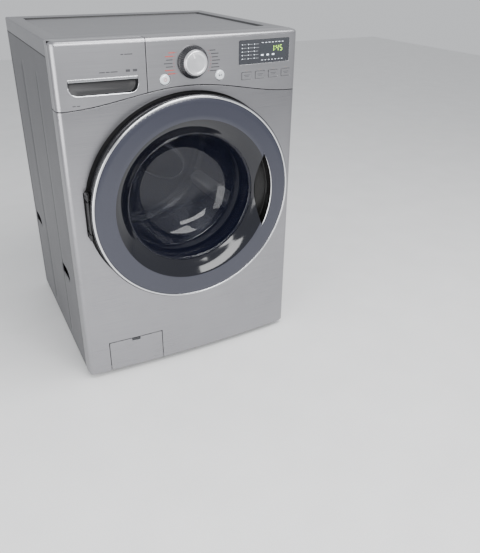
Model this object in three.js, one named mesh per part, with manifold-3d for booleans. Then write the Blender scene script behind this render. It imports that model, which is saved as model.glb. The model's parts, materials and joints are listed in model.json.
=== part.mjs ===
// Front load washing machine, 27 inch class. Millimetres, +Z up.
// The front faces -Y and the drum turns about an axis along Y.
// The origin is on the floor, under the middle of the machine's outer box.

import * as THREE from "three";
import { mergeVertices } from "three/addons/utils/BufferGeometryUtils.js";
import Module from "manifold-3d";

const wasm = await Module();
wasm.setup();

// ---------------------------------------------------------------- driving dimensions

// Cabinet
const CAB_W = 686; // across the side panels
const CAB_H = 967; // lower edge of the panels to the top plate
const CAB_D = 655; // side edges of the front to the back sheet
const FITTING_REACH = 48; // how far the water inlets stand behind the back sheet
const DOOR_PROUD = 53; // how far the door stands ahead of the front's side edges
const BOW = 15; // how far the front bulges at its middle
const EDGE_R = 10; // rounded upright edges of the front
const RETURN_D = 50; // depth of the front's side returns
const FOOT_H = 16; // floor to the lower edge of the panels
const SHEET = 1.2; // steel sheet
const MOULDING = 3; // wall of the plastic covers
const SEAM = 2; // visible gap between neighbouring covers
const GAP = 0.4; // clearance between pieces that touch
const SKIRT_H = 39; // edge of the top plate
const TOP_SHEET = 1.5;
const TOP_STEP = 5; // depth of the top plate's recessed middle
const TOP_BORDER = 43; // raised border beside the recessed middle
const TOP_BORDER_BACK = 70;
const TOP_BORDER_FRONT = 58;
const BEAD_W = 3; // pressed upright lines in the side panels
const BEAD_DEPTH = 0.6;
const BEAD_PLACES = [220, 440, 630]; // behind the front's side edges
const SIDE_SLOT_L = 96;
const SIDE_SLOT_H = 28;
const SIDE_SLOT_PLACES = [
  [184, 270],
  [590, 287],
]; // behind the front's side edges, above the lower edge

// Control panel
const FASCIA_MID_H = 124; // height above the middle of the door
const FASCIA_DROP = 40.5; // how much lower its edge runs at the sides
const DOOR_HEADROOM = 6; // from the door recess up to that edge
const DRAWER_W = 231;
const DRAWER_FRONT_D = 18;
const DRAWER_TRAVEL = 250;
const DRAWER_RUN_ROOM = 3.5; // between the tray and what it slides in
const TRAY_L = 282;
const TRAY_H = 58;
const TRAY_WALL = 2;
const TRAY_CELLS = 3;
const TRAY_SIDE = 29; // from the cabinet's side to the tray
const TRAY_UNDER_TOP = 53; // from the top of the cabinet down to the tray's rim
const PULL_W = 175; // finger pocket in the drawer front
const PULL_H = 40;
const PULL_SIDE = 33; // from the cabinet's side to the pocket
const PULL_UNDER_TOP = 90;
const PULL_R = 24;
const PULL_D = 21;
const DIAL_SIDE = 125; // from the seam beside the drawer to the dial
const DIAL_UNDER_TOP = 65;
const DIAL_SKIRT_R = 42;
const DIAL_CAP_R = 31;
const DIAL_PROUD = 28; // from the control panel to the knob's face
const DIAL_SHAFT_R = 4;
const BUTTON_R = 14;
const BUTTON_OFFSETS = [-78, 79]; // from the dial
const BUTTON_UNDER_TOP = 104;
const BUTTON_TRAVEL = 3;
const DISPLAY_W = 165;
const DISPLAY_H = 63;
const DISPLAY_SIDE = 28; // from the cabinet's side to the window
const DISPLAY_UNDER_TOP = 20;
const KEY_COUNT = 4;
const KEY_W = 31;
const KEY_H = 19;
const KEY_PITCH = 43.5;
const KEY_UNDER_TOP = 104;
const KEY_TRAVEL = 1;

// Door
const MOUTH_R = 195; // opening into the tub, at the front panel
const MOUTH_LIP = 3; // how far the clear window's edge stands inside that opening
const DISH_W = 42; // hollow border of the window
const RING_W = 66; // window to the door's edge
const TRIM_W = 9;
const DOOR_GAP = 11; // door to its recess in the front panel
const RECESS_FLOOR = 5; // floor of the recess, behind the front's side edges
const GLASS_T = 5;
const GLASS_DEPTH = 112; // how deep the bowl reaches behind the front's side edges
const HINGE_INSET = 14; // recess to the hinge pin
const HINGE_DEPTH = -25; // pin's place from the front's side edges
const PIN_R = 2.6;
const PIN_ROOM = 0.25;
const BARREL_R = 5.3;
const BARREL_HALF = 44; // half the length of the door's hinge barrel
const EAR_H = 16; // each ear of the hinge bracket
const HOOK_INSET = 52; // door's edge to the middle of the hook
const GRIP_INSET = 36; // deepest edge of the door's finger pocket, from the window's edge
const GRIP_HALF_ANGLE = 28; // degrees, centre to tip
const GRIP_OUT = 7; // how far the pocket reaches outside the window's edge
const GRIP_FLOOR = -27; // pocket's floor, from the front's side edges

// Drum, tub and motor
const TUB_R = 300;
const TUB_WALL = 4;
const TUB_FRONT_ROOM = 62; // front's side edges to the tub's neck
const TUB_BACK_ROOM = 95; // tub's back wall to the back sheet
const NECK_L = 42;
const DRUM_CLEAR = 20; // drum to the tub's outside
const DRUM_SHEET = 1.5;
const DRUM_MOUTH_ROOM = 28; // tub's neck to the drum's mouth
const LIFTER_COUNT = 3;
const LIFTER_H = 49;
const LIFTER_W = 60;
const SPIDER_T = 12;
const SHAFT_R = 15.2;
const BEARING_R = 31;
const BEARING_L = 16;
const HUB_L = 44;
const HUB_R = 45;
const STATOR_R = 104;
const STATOR_TEETH = 18;
const ROTOR_R = 116;
const WEIGHT_T = 38; // front counterweights
const WEIGHT_SPAN = 110; // degrees
const FLOAT = 15; // travel of the tub, up and down

// Suspension
const SPRING_SIDE = 51; // cabinet's side to the spring
const SPRING_Y = 55;
const SPRING_R = 16;
const SPRING_WIRE = 2.4;
const SPRING_TURNS = 8;
const SPRING_UNDER_TOP = 78;
const SPRING_L = 199;
const DAMPER_X = 215;
const DAMPER_Y = 45;
const DAMPER_R = 20;
const DAMPER_ROD_R = 7;
const DAMPER_BORE_R = 9;
const DAMPER_H = 150;

// Base, pump and service opening
const BASE_H = 30;
const RAIL_W = 42;
const FOOT_R = 21;
const FOOT_STEM_R = 6;
const FOOT_INSET = 48;
const COVER_X = [-278, -110]; // service cover
const COVER_H = 102;
const COVER_T = 2.5;
const PUMP_Z = 84;
const PUMP_R = 34;
const FILTER_R = 28;
const SUMP_X = -90;
const SUMP_DEPTH = 190; // behind the front's side edges
const SUMP_R = 20;
const HOSE_WALL = 3;
const DRAIN_R = 11;

// Back
const ACCESS_R = 170; // opening behind the motor
const REAR_COVER_R = 190;
const REAR_COVER_D = 28;
const INLET_XS = [215, 275];
const INLET_UNDER_TOP = 78;
const INLET_R = 13.2;
const INLET_BORE_R = 8;
const DRAIN_OUT = [-300, 118]; // across, and below the top of the cabinet
const GLAND = [-250, 280];

// How round things are cut: sides of large rings, of middling and of small ones
const RING_SIDES = 32;
const MID_SIDES = 20;
const SMALL_SIDES = 12;

// ---------------------------------------------------------------- places worked out

const HALF_W = CAB_W / 2;
const FRONT = (DOOR_PROUD - FITTING_REACH - CAB_D) / 2; // the front's side edges
const BACK = FRONT + CAB_D;
const LOW = FOOT_H;
const TOP = LOW + CAB_H;
const SKIRT_Z = TOP - SKIRT_H;
const DISH_R = MOUTH_R - MOUTH_LIP;
const WINDOW_R = DISH_R + DISH_W;
const DOOR_R = WINDOW_R + RING_W;
const RECESS_R = DOOR_R + DOOR_GAP; // opening in the front panel
const WALL_R = DOOR_R - 4; // door's side wall
const DOOR_Z = TOP - FASCIA_MID_H - DOOR_HEADROOM - RECESS_R; // door and drum axis
const HOOK_X = DOOR_R - HOOK_INSET;
const HINGE_X = -RECESS_R + HINGE_INSET;
const HINGE_Y = FRONT + HINGE_DEPTH;
const TUB_NECK_R = MOUTH_R + 5;
const TUB_FRONT = FRONT + TUB_FRONT_ROOM;
const TUB_SHOULDER = TUB_FRONT + NECK_L;
const TUB_BACK = BACK - TUB_BACK_ROOM;
const TUB_SEAM = (TUB_SHOULDER + TUB_BACK) / 2;
const DRUM_R = TUB_R - DRUM_CLEAR;
const DRUM_MOUTH_R = MOUTH_R - 3;
const DRUM_FRONT = TUB_FRONT + DRUM_MOUTH_ROOM;
const DRUM_BACK = TUB_BACK - 28;
const HUB_END = TUB_BACK + HUB_L;
const SPLIT_X = -HALF_W + DRAWER_W; // upright seam between drawer and control panel
const DIAL_X = SPLIT_X + DIAL_SIDE;
const TRAY_X0 = -HALF_W + TRAY_SIDE;
const TRAY_X1 = SPLIT_X - TRAY_SIDE + 5;
const TRAY_Z1 = TOP - TRAY_UNDER_TOP;
const TRAY_Z0 = TRAY_Z1 - TRAY_H;
const TRAY_Y0 = FRONT + DRAWER_FRONT_D + GAP;
const BASE_Z0 = LOW + 2;
const BASE_Z1 = BASE_Z0 + BASE_H;

const bowY = (x) => FRONT - BOW * (1 - (x / HALF_W) ** 2);
const splitZ = (x) =>
  TOP -
  FASCIA_MID_H -
  FASCIA_DROP * (1 - Math.cos((Math.PI * x) / CAB_W) ** 2);

// ---------------------------------------------------------------- shape helpers

// A closed three.js geometry as a solid, with its faces turned outward.
function solid(geometry) {
  const bare = geometry.index ? geometry.toNonIndexed() : geometry;
  bare.deleteAttribute("normal");
  bare.deleteAttribute("uv");
  const merged = mergeVertices(bare, 1e-4);
  const index = merged.index.array;
  const kept = [];
  for (let i = 0; i < index.length; i += 3) {
    const [a, b, c] = [index[i], index[i + 1], index[i + 2]];
    if (a !== b && b !== c && c !== a) kept.push(a, b, c);
  }
  return new wasm.Manifold(
    new wasm.Mesh({
      numProp: 3,
      vertProperties: merged.attributes.position.array,
      triVerts: new Uint32Array(kept),
    }),
  );
}

const join = (...parts) => parts.reduce((a, b) => a.add(b));
const cut = (body, ...tools) => tools.reduce((a, b) => a.subtract(b), body);

function box(x0, x1, y0, y1, z0, z1) {
  const g = new THREE.BoxGeometry(x1 - x0, y1 - y0, z1 - z0);
  return solid(g.translate((x0 + x1) / 2, (y0 + y1) / 2, (z0 + z1) / 2));
}

const outline = (points) =>
  new THREE.Shape(points.map(([a, b]) => new THREE.Vector2(a, b)));

const extruded = (shape, depth, curveSegments) =>
  new THREE.ExtrudeGeometry(shape, {
    depth,
    bevelEnabled: false,
    curveSegments,
  });

// An outline in X and Z, drawn out along Y.
const prismY = (shape, y0, y1, curveSegments = 6) =>
  solid(
    extruded(shape, y1 - y0, curveSegments)
      .rotateX(Math.PI / 2)
      .translate(0, y1, 0),
  );

// An outline in X and Y, drawn out along Z.
const prismZ = (shape, z0, z1, curveSegments = 6) =>
  solid(extruded(shape, z1 - z0, curveSegments).translate(0, 0, z0));

// Profile points as [radius, height], ordered so that the turned surface faces out.
function turnedProfile(points) {
  const closed = points[0][0] > 0;
  const list = closed ? [...points, points[0]] : points;
  const area = list.reduce((sum, [r, h], i) => {
    const [r2, h2] = list[(i + 1) % list.length];
    return sum + r * h2 - r2 * h;
  }, 0);
  const ordered = area < 0 ? [...list].reverse() : list;
  return ordered.map(([r, h]) => new THREE.Vector2(r, h));
}

// Turned about an axis along Y through x, z.
const turnedY = (points, sides, x = 0, z = DOOR_Z) =>
  solid(
    new THREE.LatheGeometry(turnedProfile(points), sides).translate(x, 0, z),
  );

// Turned about an axis along Z through x, y.
const turnedZ = (points, sides, x, y) =>
  solid(
    new THREE.LatheGeometry(turnedProfile(points), sides)
      .rotateX(Math.PI / 2)
      .translate(x, y, 0),
  );

const barY = (r, y0, y1, sides, x = 0, z = DOOR_Z) =>
  turnedY(
    [
      [0, y0],
      [r, y0],
      [r, y1],
      [0, y1],
    ],
    sides,
    x,
    z,
  );

const barZ = (r, z0, z1, sides, x, y) =>
  turnedZ(
    [
      [0, z0],
      [r, z0],
      [r, z1],
      [0, z1],
    ],
    sides,
    x,
    y,
  );

function roundedRect(x0, x1, z0, z1, rLow, rHigh = rLow) {
  const s = new THREE.Shape();
  s.moveTo(x0 + rLow, z0);
  s.lineTo(x1 - rLow, z0);
  s.absarc(x1 - rLow, z0 + rLow, rLow, -Math.PI / 2, 0);
  s.lineTo(x1, z1 - rHigh);
  s.absarc(x1 - rHigh, z1 - rHigh, rHigh, 0, Math.PI / 2);
  s.lineTo(x0 + rHigh, z1);
  s.absarc(x0 + rHigh, z1 - rHigh, rHigh, Math.PI / 2, Math.PI);
  s.lineTo(x0, z0 + rLow);
  s.absarc(x0 + rLow, z0 + rLow, rLow, Math.PI, 1.5 * Math.PI);
  return s;
}

// Plan of the bowed front, moved inward by an inset, closed at the depth given.
function bowPlan(inset, depth) {
  const strips = 14;
  const cornerSteps = 3;
  const side = HALF_W - inset;
  const flat = HALF_W - EDGE_R;
  const radius = Math.max(EDGE_R - inset, 1);
  const centreX = side - radius;
  const centreY = bowY(flat) + inset + radius;
  const right = [[side, FRONT + depth]];
  for (let i = 0; i <= cornerSteps; i++) {
    const a = ((Math.PI / 2) * i) / cornerSteps;
    right.push([
      centreX + radius * Math.cos(a),
      centreY - radius * Math.sin(a),
    ]);
  }
  const front = [];
  for (let i = 1; i < strips; i++) {
    const x = centreX * (1 - (2 * i) / strips);
    front.push([x, bowY(x) + inset]);
  }
  const left = right.map(([x, y]) => [-x, y]).reverse();
  return outline([...right, ...front, ...left]);
}

// The bowed front as a block, and the front outline of what lies above or below the curved seam.
const bowBlock = (inset, depth, z0, z1) =>
  prismZ(bowPlan(inset, depth), z0, z1);

function seamOutline(x0, x1, zFar, lift) {
  const steps = Math.max(6, Math.round((24 * (x1 - x0)) / CAB_W));
  const points = [];
  for (let i = 0; i <= steps; i++) {
    const x = x0 + ((x1 - x0) * i) / steps;
    points.push([x, splitZ(x) + lift]);
  }
  return outline([[x0, zFar], ...points, [x1, zFar]]);
}

const aboveSeam = (x0, x1, zFar, lift, y0, y1) =>
  prismY(seamOutline(x0, x1, zFar, lift), y0, y1);

// ---------------------------------------------------------------- looks

const LOOKS = {
  brushed: [0xb4b4b8, 0.35, 0.85],
  casing: [0x77777c, 0.5, 0.6],
  top: [0x8d8d92, 0.45, 0.6],
  zinc: [0x9a9ca0, 0.5, 0.8],
  steel: [0xc8cacc, 0.25, 1],
  chrome: [0xe4e4e6, 0.1, 1],
  aluminium: [0xb9bbbd, 0.4, 0.9],
  iron: [0x3d3f42, 0.6, 0.8],
  concrete: [0x8f8c86, 0.95, 0],
  darkGloss: [0x20222a, 0.15, 0.1],
  tinted: [0x4c4f60, 0.2, 0.3],
  glass: [0x28303c, 0.05, 0],
  greyPlastic: [0xa9abad, 0.5, 0],
  whitePlastic: [0xe6e6e4, 0.45, 0],
  darkPlastic: [0x2b2c2e, 0.6, 0],
  rubber: [0x6f7276, 0.8, 0],
  blackRubber: [0x1c1c1d, 0.85, 0],
  board: [0x2f5a3a, 0.6, 0],
};

const machine = new THREE.Group();

function add(name, body, look) {
  const mesh = body.getMesh();
  const geometry = new THREE.BufferGeometry();
  geometry.setAttribute(
    "position",
    new THREE.BufferAttribute(mesh.vertProperties, 3),
  );
  geometry.setIndex(new THREE.BufferAttribute(mesh.triVerts, 1));
  geometry.computeVertexNormals();
  const [color, roughness, metalness] = LOOKS[look];
  const material = new THREE.MeshStandardMaterial({
    color,
    roughness,
    metalness,
  });
  const made = new THREE.Mesh(geometry, material);
  made.name = name;
  machine.add(made);
}

// ---------------------------------------------------------------- cabinet

function baseFrame() {
  const x = HALF_W - SHEET - 2;
  const y0 = FRONT + 14;
  const y1 = BACK - SHEET - 2;
  const inner = RAIL_W;
  const crossHalf = RAIL_W / 2 + 4;
  const frame = cut(
    box(-x, x, y0, y1, BASE_Z0, BASE_Z1),
    box(
      -x + inner,
      x - inner,
      y0 + inner,
      DAMPER_Y - crossHalf,
      BASE_Z0 - 1,
      BASE_Z1 + 1,
    ),
    box(
      -x + inner,
      x - inner,
      DAMPER_Y + crossHalf,
      y1 - inner,
      BASE_Z0 - 1,
      BASE_Z1 + 1,
    ),
  );
  const holes = footPlaces().map(([, px, py]) =>
    barZ(FOOT_STEM_R + 0.5, BASE_Z0 - 1, BASE_Z1 + 1, SMALL_SIDES, px, py),
  );
  // The rails are folded channels: open underneath, with the sheet left on top and at the sides.
  const wall = 2;
  const channel = (x0, x1, ya, yb) =>
    box(x0, x1, ya, yb, BASE_Z0 - 1, BASE_Z1 - wall);
  const hollows = [
    channel(
      -x + FOOT_INSET + 22,
      x - FOOT_INSET - 22,
      y0 + wall,
      y0 + inner - wall,
    ),
    channel(
      -x + FOOT_INSET + 22,
      x - FOOT_INSET - 22,
      y1 - inner + wall,
      y1 - wall,
    ),
  ];
  return cut(frame, ...holes, ...hollows);
}

function footPlaces() {
  const x = HALF_W - FOOT_INSET;
  const front = FRONT + FOOT_INSET;
  const back = BACK - FOOT_INSET;
  return [
    ["foot_front_left", -x, front],
    ["foot_front_right", x, front],
    ["foot_rear_left", -x, back],
    ["foot_rear_right", x, back],
  ];
}

// A rubber-soled levelling foot with its threaded stem and lock nut.
function foot(x, y) {
  return turnedZ(
    [
      [0, 0],
      [FOOT_R - 2, 0],
      [FOOT_R, 2],
      [FOOT_R, 7],
      [FOOT_R - 6, 10],
      [FOOT_STEM_R + 4, 10.5],
      [FOOT_STEM_R + 4, BASE_Z0 - GAP],
      [FOOT_STEM_R, BASE_Z0 - GAP],
      [FOOT_STEM_R, BASE_Z1 + 6],
      [0, BASE_Z1 + 6],
    ],
    SMALL_SIDES,
    x,
    y,
  );
}

function sidePanel(side) {
  const y0 = FRONT + RETURN_D + SEAM;
  const outer = HALF_W;
  const panel = box(
    outer - SHEET,
    outer,
    y0,
    BACK - SHEET - GAP,
    LOW,
    SKIRT_Z - GAP,
  );
  const backFold = box(
    outer - 16,
    outer - SHEET + 0.1,
    BACK - 2 * SHEET - GAP,
    BACK - SHEET - GAP,
    LOW,
    SKIRT_Z - GAP,
  );
  const hangerZ = TOP - SPRING_UNDER_TOP + SPRING_WIRE + 2 * GAP;
  const hanger = box(
    outer - SPRING_SIDE - SPRING_R,
    outer - SHEET + 0.1,
    SPRING_Y - 15,
    SPRING_Y + 15,
    hangerZ,
    hangerZ + 3,
  );
  const beads = BEAD_PLACES.map((d) =>
    box(
      outer - BEAD_DEPTH,
      outer + 1,
      FRONT + d - BEAD_W / 2,
      FRONT + d + BEAD_W / 2,
      LOW + 45,
      SKIRT_Z - 84,
    ),
  );
  const half = SIDE_SLOT_L / 2 - SIDE_SLOT_H / 2;
  const slots = SIDE_SLOT_PLACES.map(([d, h]) => {
    const s = new THREE.Shape();
    s.absarc(
      FRONT + d + half,
      LOW + h,
      SIDE_SLOT_H / 2,
      -Math.PI / 2,
      Math.PI / 2,
    );
    s.absarc(
      FRONT + d - half,
      LOW + h,
      SIDE_SLOT_H / 2,
      Math.PI / 2,
      1.5 * Math.PI,
    );
    const turned = extruded(s, 4, 4).applyMatrix4(
      new THREE.Matrix4().makeBasis(
        new THREE.Vector3(0, 1, 0),
        new THREE.Vector3(0, 0, 1),
        new THREE.Vector3(1, 0, 0),
      ),
    );
    return solid(turned.translate(outer - 3, 0, 0));
  });
  const right = cut(join(panel, backFold, hanger), ...beads, ...slots);
  return side > 0 ? right : right.mirror([1, 0, 0]);
}

function rearPanel() {
  const x = HALF_W - SHEET - GAP;
  const sheet = box(-x, x, BACK - SHEET, BACK, LOW, SKIRT_Z - GAP);
  const hole = (r, px, pz, sides) =>
    barY(r, BACK - SHEET - 1, BACK + 1, sides, px, pz);
  const inlets = INLET_XS.map((px) =>
    hole(INLET_R + 1.5, px, TOP - INLET_UNDER_TOP, SMALL_SIDES),
  );
  return cut(
    sheet,
    hole(ACCESS_R, 0, DOOR_Z, RING_SIDES),
    ...inlets,
    hole(DRAIN_R + 1.5, DRAIN_OUT[0], TOP - DRAIN_OUT[1], SMALL_SIDES),
    hole(9, GLAND[0], TOP - GLAND[1], SMALL_SIDES),
  );
}

function rearCover() {
  const y = BACK + GAP;
  return turnedY(
    [
      [0, y + REAR_COVER_D],
      [ACCESS_R - 40, y + REAR_COVER_D],
      [ACCESS_R - 8, y + SHEET],
      [REAR_COVER_R, y + SHEET],
      [REAR_COVER_R, y],
      [ACCESS_R - 9, y],
      [ACCESS_R - 41, y + REAR_COVER_D - SHEET],
      [0, y + REAR_COVER_D - SHEET],
    ],
    RING_SIDES,
  );
}

const serviceOpening = (inset, y0, y1) =>
  box(
    COVER_X[0] + inset,
    COVER_X[1] - inset,
    y0,
    y1,
    LOW - 5,
    LOW + COVER_H - inset,
  );

function frontPanel() {
  const reach = FRONT - BOW - 5;
  const under = prismY(
    seamOutline(-HALF_W, HALF_W, LOW, -SEAM / 2),
    reach,
    FRONT + RETURN_D,
  );
  const skin = cut(
    bowBlock(0, RETURN_D, LOW, TOP),
    bowBlock(SHEET, RETURN_D + 1, LOW - 1, TOP + 1),
  ).intersect(under);
  const floor = FRONT + RECESS_FLOOR;
  const dish = turnedY(
    [
      [RECESS_R, reach],
      [RECESS_R + SHEET, reach],
      [RECESS_R + SHEET, floor + SHEET],
      [MOUTH_R + SHEET, floor + SHEET],
      [MOUTH_R + SHEET, floor + 12],
      [MOUTH_R, floor + 12],
      [MOUTH_R, floor],
      [RECESS_R, floor],
    ],
    RING_SIDES,
  ).intersect(bowBlock(0, RETURN_D, LOW, TOP));
  const opening = barY(
    RECESS_R + SHEET / 2,
    reach,
    FRONT + RETURN_D,
    RING_SIDES,
  );
  const hookSlot = box(
    HOOK_X - 11,
    HOOK_X + 16,
    floor - 2,
    floor + SHEET + 2,
    DOOR_Z - 9,
    DOOR_Z + 9,
  );
  const service = serviceOpening(-SEAM / 2, reach, FRONT + 3);
  return cut(join(cut(skin, opening), dish), hookSlot, service);
}

function topPlate() {
  const y0 = FRONT + RETURN_D + SEAM;
  const wall = 2;
  const recess = [
    -HALF_W + TOP_BORDER,
    HALF_W - TOP_BORDER,
    y0 + TOP_BORDER_FRONT,
    BACK - TOP_BORDER_BACK,
  ];
  const [rx0, rx1, ry0, ry1] = recess;
  const t = TOP_SHEET;
  const low = SKIRT_Z;
  const ceiling = TOP - TOP_STEP - t;
  const shell = cut(
    box(-HALF_W, HALF_W, y0, BACK, low, TOP),
    box(rx0, rx1, ry0, ry1, TOP - TOP_STEP, TOP + 1),
    box(
      -HALF_W + wall,
      HALF_W - wall,
      y0 + wall,
      BACK - wall,
      low - 1,
      ceiling,
    ),
  );
  const under = cut(
    box(-HALF_W + wall, HALF_W - wall, y0 + wall, BACK - wall, low, TOP - t),
    box(rx0 - t, rx1 + t, ry0 - t, ry1 + t, low - 1, TOP),
  );
  return cut(shell, under);
}

// ---------------------------------------------------------------- control panel and drawer

function displayShape(inset) {
  const x1 = HALF_W - DISPLAY_SIDE;
  const z1 = TOP - DISPLAY_UNDER_TOP;
  return roundedRect(
    x1 - DISPLAY_W + inset,
    x1 - inset,
    z1 - DISPLAY_H + inset,
    z1 - inset,
    4,
  );
}

const keyPlaces = () => {
  const first = HALF_W - DISPLAY_SIDE - DISPLAY_W + 10;
  return Array.from({ length: KEY_COUNT }, (_, i) => first + i * KEY_PITCH);
};

const keyShape = (x, inset) =>
  roundedRect(
    x + inset,
    x + KEY_W - inset,
    TOP - KEY_UNDER_TOP - KEY_H + inset,
    TOP - KEY_UNDER_TOP - inset,
    2,
  );

function controlPanel() {
  const front = FRONT - BOW - 5;
  const depth = RETURN_D;
  const above = (lift, ceiling, y0, y1) =>
    aboveSeam(-HALF_W - 1, HALF_W + 1, ceiling, SEAM / 2 + lift, y0, y1);
  const low = splitZ(HALF_W) - 5;
  const whole = bowBlock(0, depth, low, TOP).intersect(
    above(0, TOP, front, FRONT + depth),
  );
  const hollow = bowBlock(MOULDING, depth + 1, low - 1, TOP + 1).intersect(
    above(MOULDING, TOP - MOULDING, front, FRONT + depth + 1),
  );
  const bayBack = FRONT + DRAWER_FRONT_D + SEAM;
  const bay = box(
    -HALF_W - 1,
    SPLIT_X + SEAM / 2,
    front,
    bayBack,
    low - 1,
    TOP + 1,
  );
  const bayWalls = join(
    box(
      -HALF_W,
      SPLIT_X + SEAM / 2 + 2.5,
      bayBack,
      bayBack + 2.5,
      low - 1,
      TOP + 1,
    ),
    box(
      SPLIT_X + SEAM / 2,
      SPLIT_X + SEAM / 2 + 2.5,
      front,
      bayBack + 2.5,
      low - 1,
      TOP + 1,
    ),
  ).intersect(whole);
  const room = DRAWER_RUN_ROOM;
  const trayWay = box(
    TRAY_X0 - room,
    TRAY_X1 + room,
    front,
    bayBack + 5,
    TRAY_Z0 - room,
    TRAY_Z1 + room,
  );
  const through = (shape) => prismY(shape, front, FRONT + 8, 5);
  const buttons = BUTTON_OFFSETS.map((dx) =>
    barY(
      BUTTON_R + 0.6,
      front,
      FRONT + 8,
      MID_SIDES,
      DIAL_X + dx,
      TOP - BUTTON_UNDER_TOP,
    ),
  );
  const dialHole = barY(
    DIAL_SHAFT_R + 1.5,
    front,
    FRONT + 8,
    SMALL_SIDES,
    DIAL_X,
    TOP - DIAL_UNDER_TOP,
  );
  return cut(
    join(cut(whole, hollow, bay), bayWalls),
    trayWay,
    dialHole,
    through(displayShape(0)),
    ...buttons,
    ...keyPlaces().map((x) => through(keyShape(x, -0.6))),
  );
}

const displayWindow = () =>
  cut(
    bowBlock(0.6, 20, SKIRT_Z - 60, TOP),
    bowBlock(2.8, 21, SKIRT_Z - 61, TOP + 1),
  ).intersect(prismY(displayShape(GAP), FRONT - BOW - 5, FRONT + 15, 5));

// Circuit board behind the panel, with the display module and the dial's encoder on it.
function controlBoard() {
  const y = FRONT + 24;
  const x1 = HALF_W - DISPLAY_SIDE;
  const plate = box(
    DIAL_X - 30,
    x1,
    y,
    y + 2,
    TOP - FASCIA_MID_H + 8,
    TOP - 12,
  );
  const module = box(
    x1 - DISPLAY_W + 8,
    x1 - 8,
    FRONT + 8,
    y + 0.1,
    TOP - DISPLAY_UNDER_TOP - DISPLAY_H + 8,
    TOP - DISPLAY_UNDER_TOP - 8,
  );
  const dialZ = TOP - DIAL_UNDER_TOP;
  const encoder = cut(
    box(DIAL_X - 13, DIAL_X + 13, FRONT + 4, y + 0.1, dialZ - 13, dialZ + 13),
    barY(
      DIAL_SHAFT_R + 1,
      FRONT,
      FRONT + 18,
      SMALL_SIDES,
      DIAL_X,
      dialZ,
    ),
  );
  return join(plate, module, encoder);
}

function dialKnob() {
  const y = bowY(DIAL_X);
  const face = y - DIAL_PROUD;
  return turnedY(
    [
      [0, face],
      [DIAL_CAP_R - 3, face],
      [DIAL_CAP_R, face + 3],
      [DIAL_CAP_R + 3, face + 12],
      [DIAL_SKIRT_R - 3, y - 9],
      [DIAL_SKIRT_R, y - 6],
      [DIAL_SKIRT_R, y - 1],
      [DIAL_SHAFT_R, y - 1],
      [DIAL_SHAFT_R, FRONT + 16],
      [0, FRONT + 16],
    ],
    MID_SIDES,
    DIAL_X,
    TOP - DIAL_UNDER_TOP,
  );
}

function pushButton(dx) {
  const x = DIAL_X + dx;
  const y = bowY(x);
  return turnedY(
    [
      [0, y - 3.5],
      [BUTTON_R - 5, y - 3],
      [BUTTON_R - 1.5, y - 1.2],
      [BUTTON_R, y + 0.5],
      [BUTTON_R, y + 8],
      [0, y + 8],
    ],
    MID_SIDES,
    x,
    TOP - BUTTON_UNDER_TOP,
  );
}

const optionKey = (x) =>
  cut(
    bowBlock(-0.8, 20, SKIRT_Z - 90, TOP),
    bowBlock(5, 21, SKIRT_Z - 91, TOP + 1),
  ).intersect(prismY(keyShape(x, 0), FRONT - BOW - 5, FRONT + 15, 3));

function pullShape(grow) {
  const x0 = -HALF_W + PULL_SIDE;
  const z1 = TOP - PULL_UNDER_TOP;
  return roundedRect(
    x0 - grow,
    x0 + PULL_W + grow,
    z1 - PULL_H - grow,
    z1 + grow,
    PULL_R + grow,
    3 + grow,
  );
}

function drawerFront() {
  const front = FRONT - BOW - 5;
  const back = FRONT + DRAWER_FRONT_D;
  const low = splitZ(HALF_W) - 5;
  const right = SPLIT_X - SEAM / 2;
  const whole = bowBlock(0, DRAWER_FRONT_D, low, TOP).intersect(
    aboveSeam(-HALF_W - 1, right, TOP, SEAM / 2, front, back),
  );
  const hollow = bowBlock(
    MOULDING,
    DRAWER_FRONT_D + 1,
    low - 1,
    TOP + 1,
  ).intersect(
    aboveSeam(
      -HALF_W + MOULDING,
      right - MOULDING,
      TOP - MOULDING,
      SEAM / 2 + MOULDING,
      front,
      back + 1,
    ),
  );
  const floor = bowY(-HALF_W + PULL_SIDE + PULL_W / 2) + PULL_D;
  const cup = prismY(pullShape(2.5), front, floor + 2.5, 5).intersect(whole);
  const pocket = prismY(pullShape(0), front, floor, 5);
  return cut(join(cut(whole, hollow), cup), pocket);
}

function trayCells() {
  const width = TRAY_X1 - TRAY_X0;
  const cell = (width - TRAY_WALL) / TRAY_CELLS;
  return Array.from({ length: TRAY_CELLS }, (_, i) => [
    TRAY_X0 + TRAY_WALL + i * cell,
    TRAY_X0 + (i + 1) * cell,
  ]);
}

function drawerTray() {
  const y1 = TRAY_Y0 + TRAY_L;
  const cells = trayCells().map(([x0, x1]) =>
    box(
      x0,
      x1,
      TRAY_Y0 + TRAY_WALL,
      y1 - TRAY_WALL,
      TRAY_Z0 + TRAY_WALL,
      TRAY_Z1 + 1,
    ),
  );
  return cut(box(TRAY_X0, TRAY_X1, TRAY_Y0, y1, TRAY_Z0, TRAY_Z1), ...cells);
}

// The tray's housing: open at the front, with a spout down to the tub.
function dispenserHousing() {
  const wall = 2.5;
  const room = DRAWER_RUN_ROOM + 1;
  const y0 = FRONT + DRAWER_FRONT_D + SEAM + 2.5 + GAP;
  const y1 = TRAY_Y0 + TRAY_L + 26;
  const [x0, x1] = [TRAY_X0 - room, TRAY_X1 + room];
  const [z0, z1] = [TRAY_Z0 - room, TRAY_Z1 + room + 5];
  const spoutX = (x0 + x1) / 2;
  return cut(
    join(
      box(x0 - wall, x1 + wall, y0, y1, z0 - wall, z1 + wall),
      barZ(20, z0 - 26, z0 - 1, SMALL_SIDES, spoutX, y1 - 32),
    ),
    box(x0, x1, y0 - 1, y1 - wall, z0, z1),
    barZ(16, z0 - 30, z0 + 1, SMALL_SIDES, spoutX, y1 - 32),
  );
}

// ---------------------------------------------------------------- door

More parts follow.
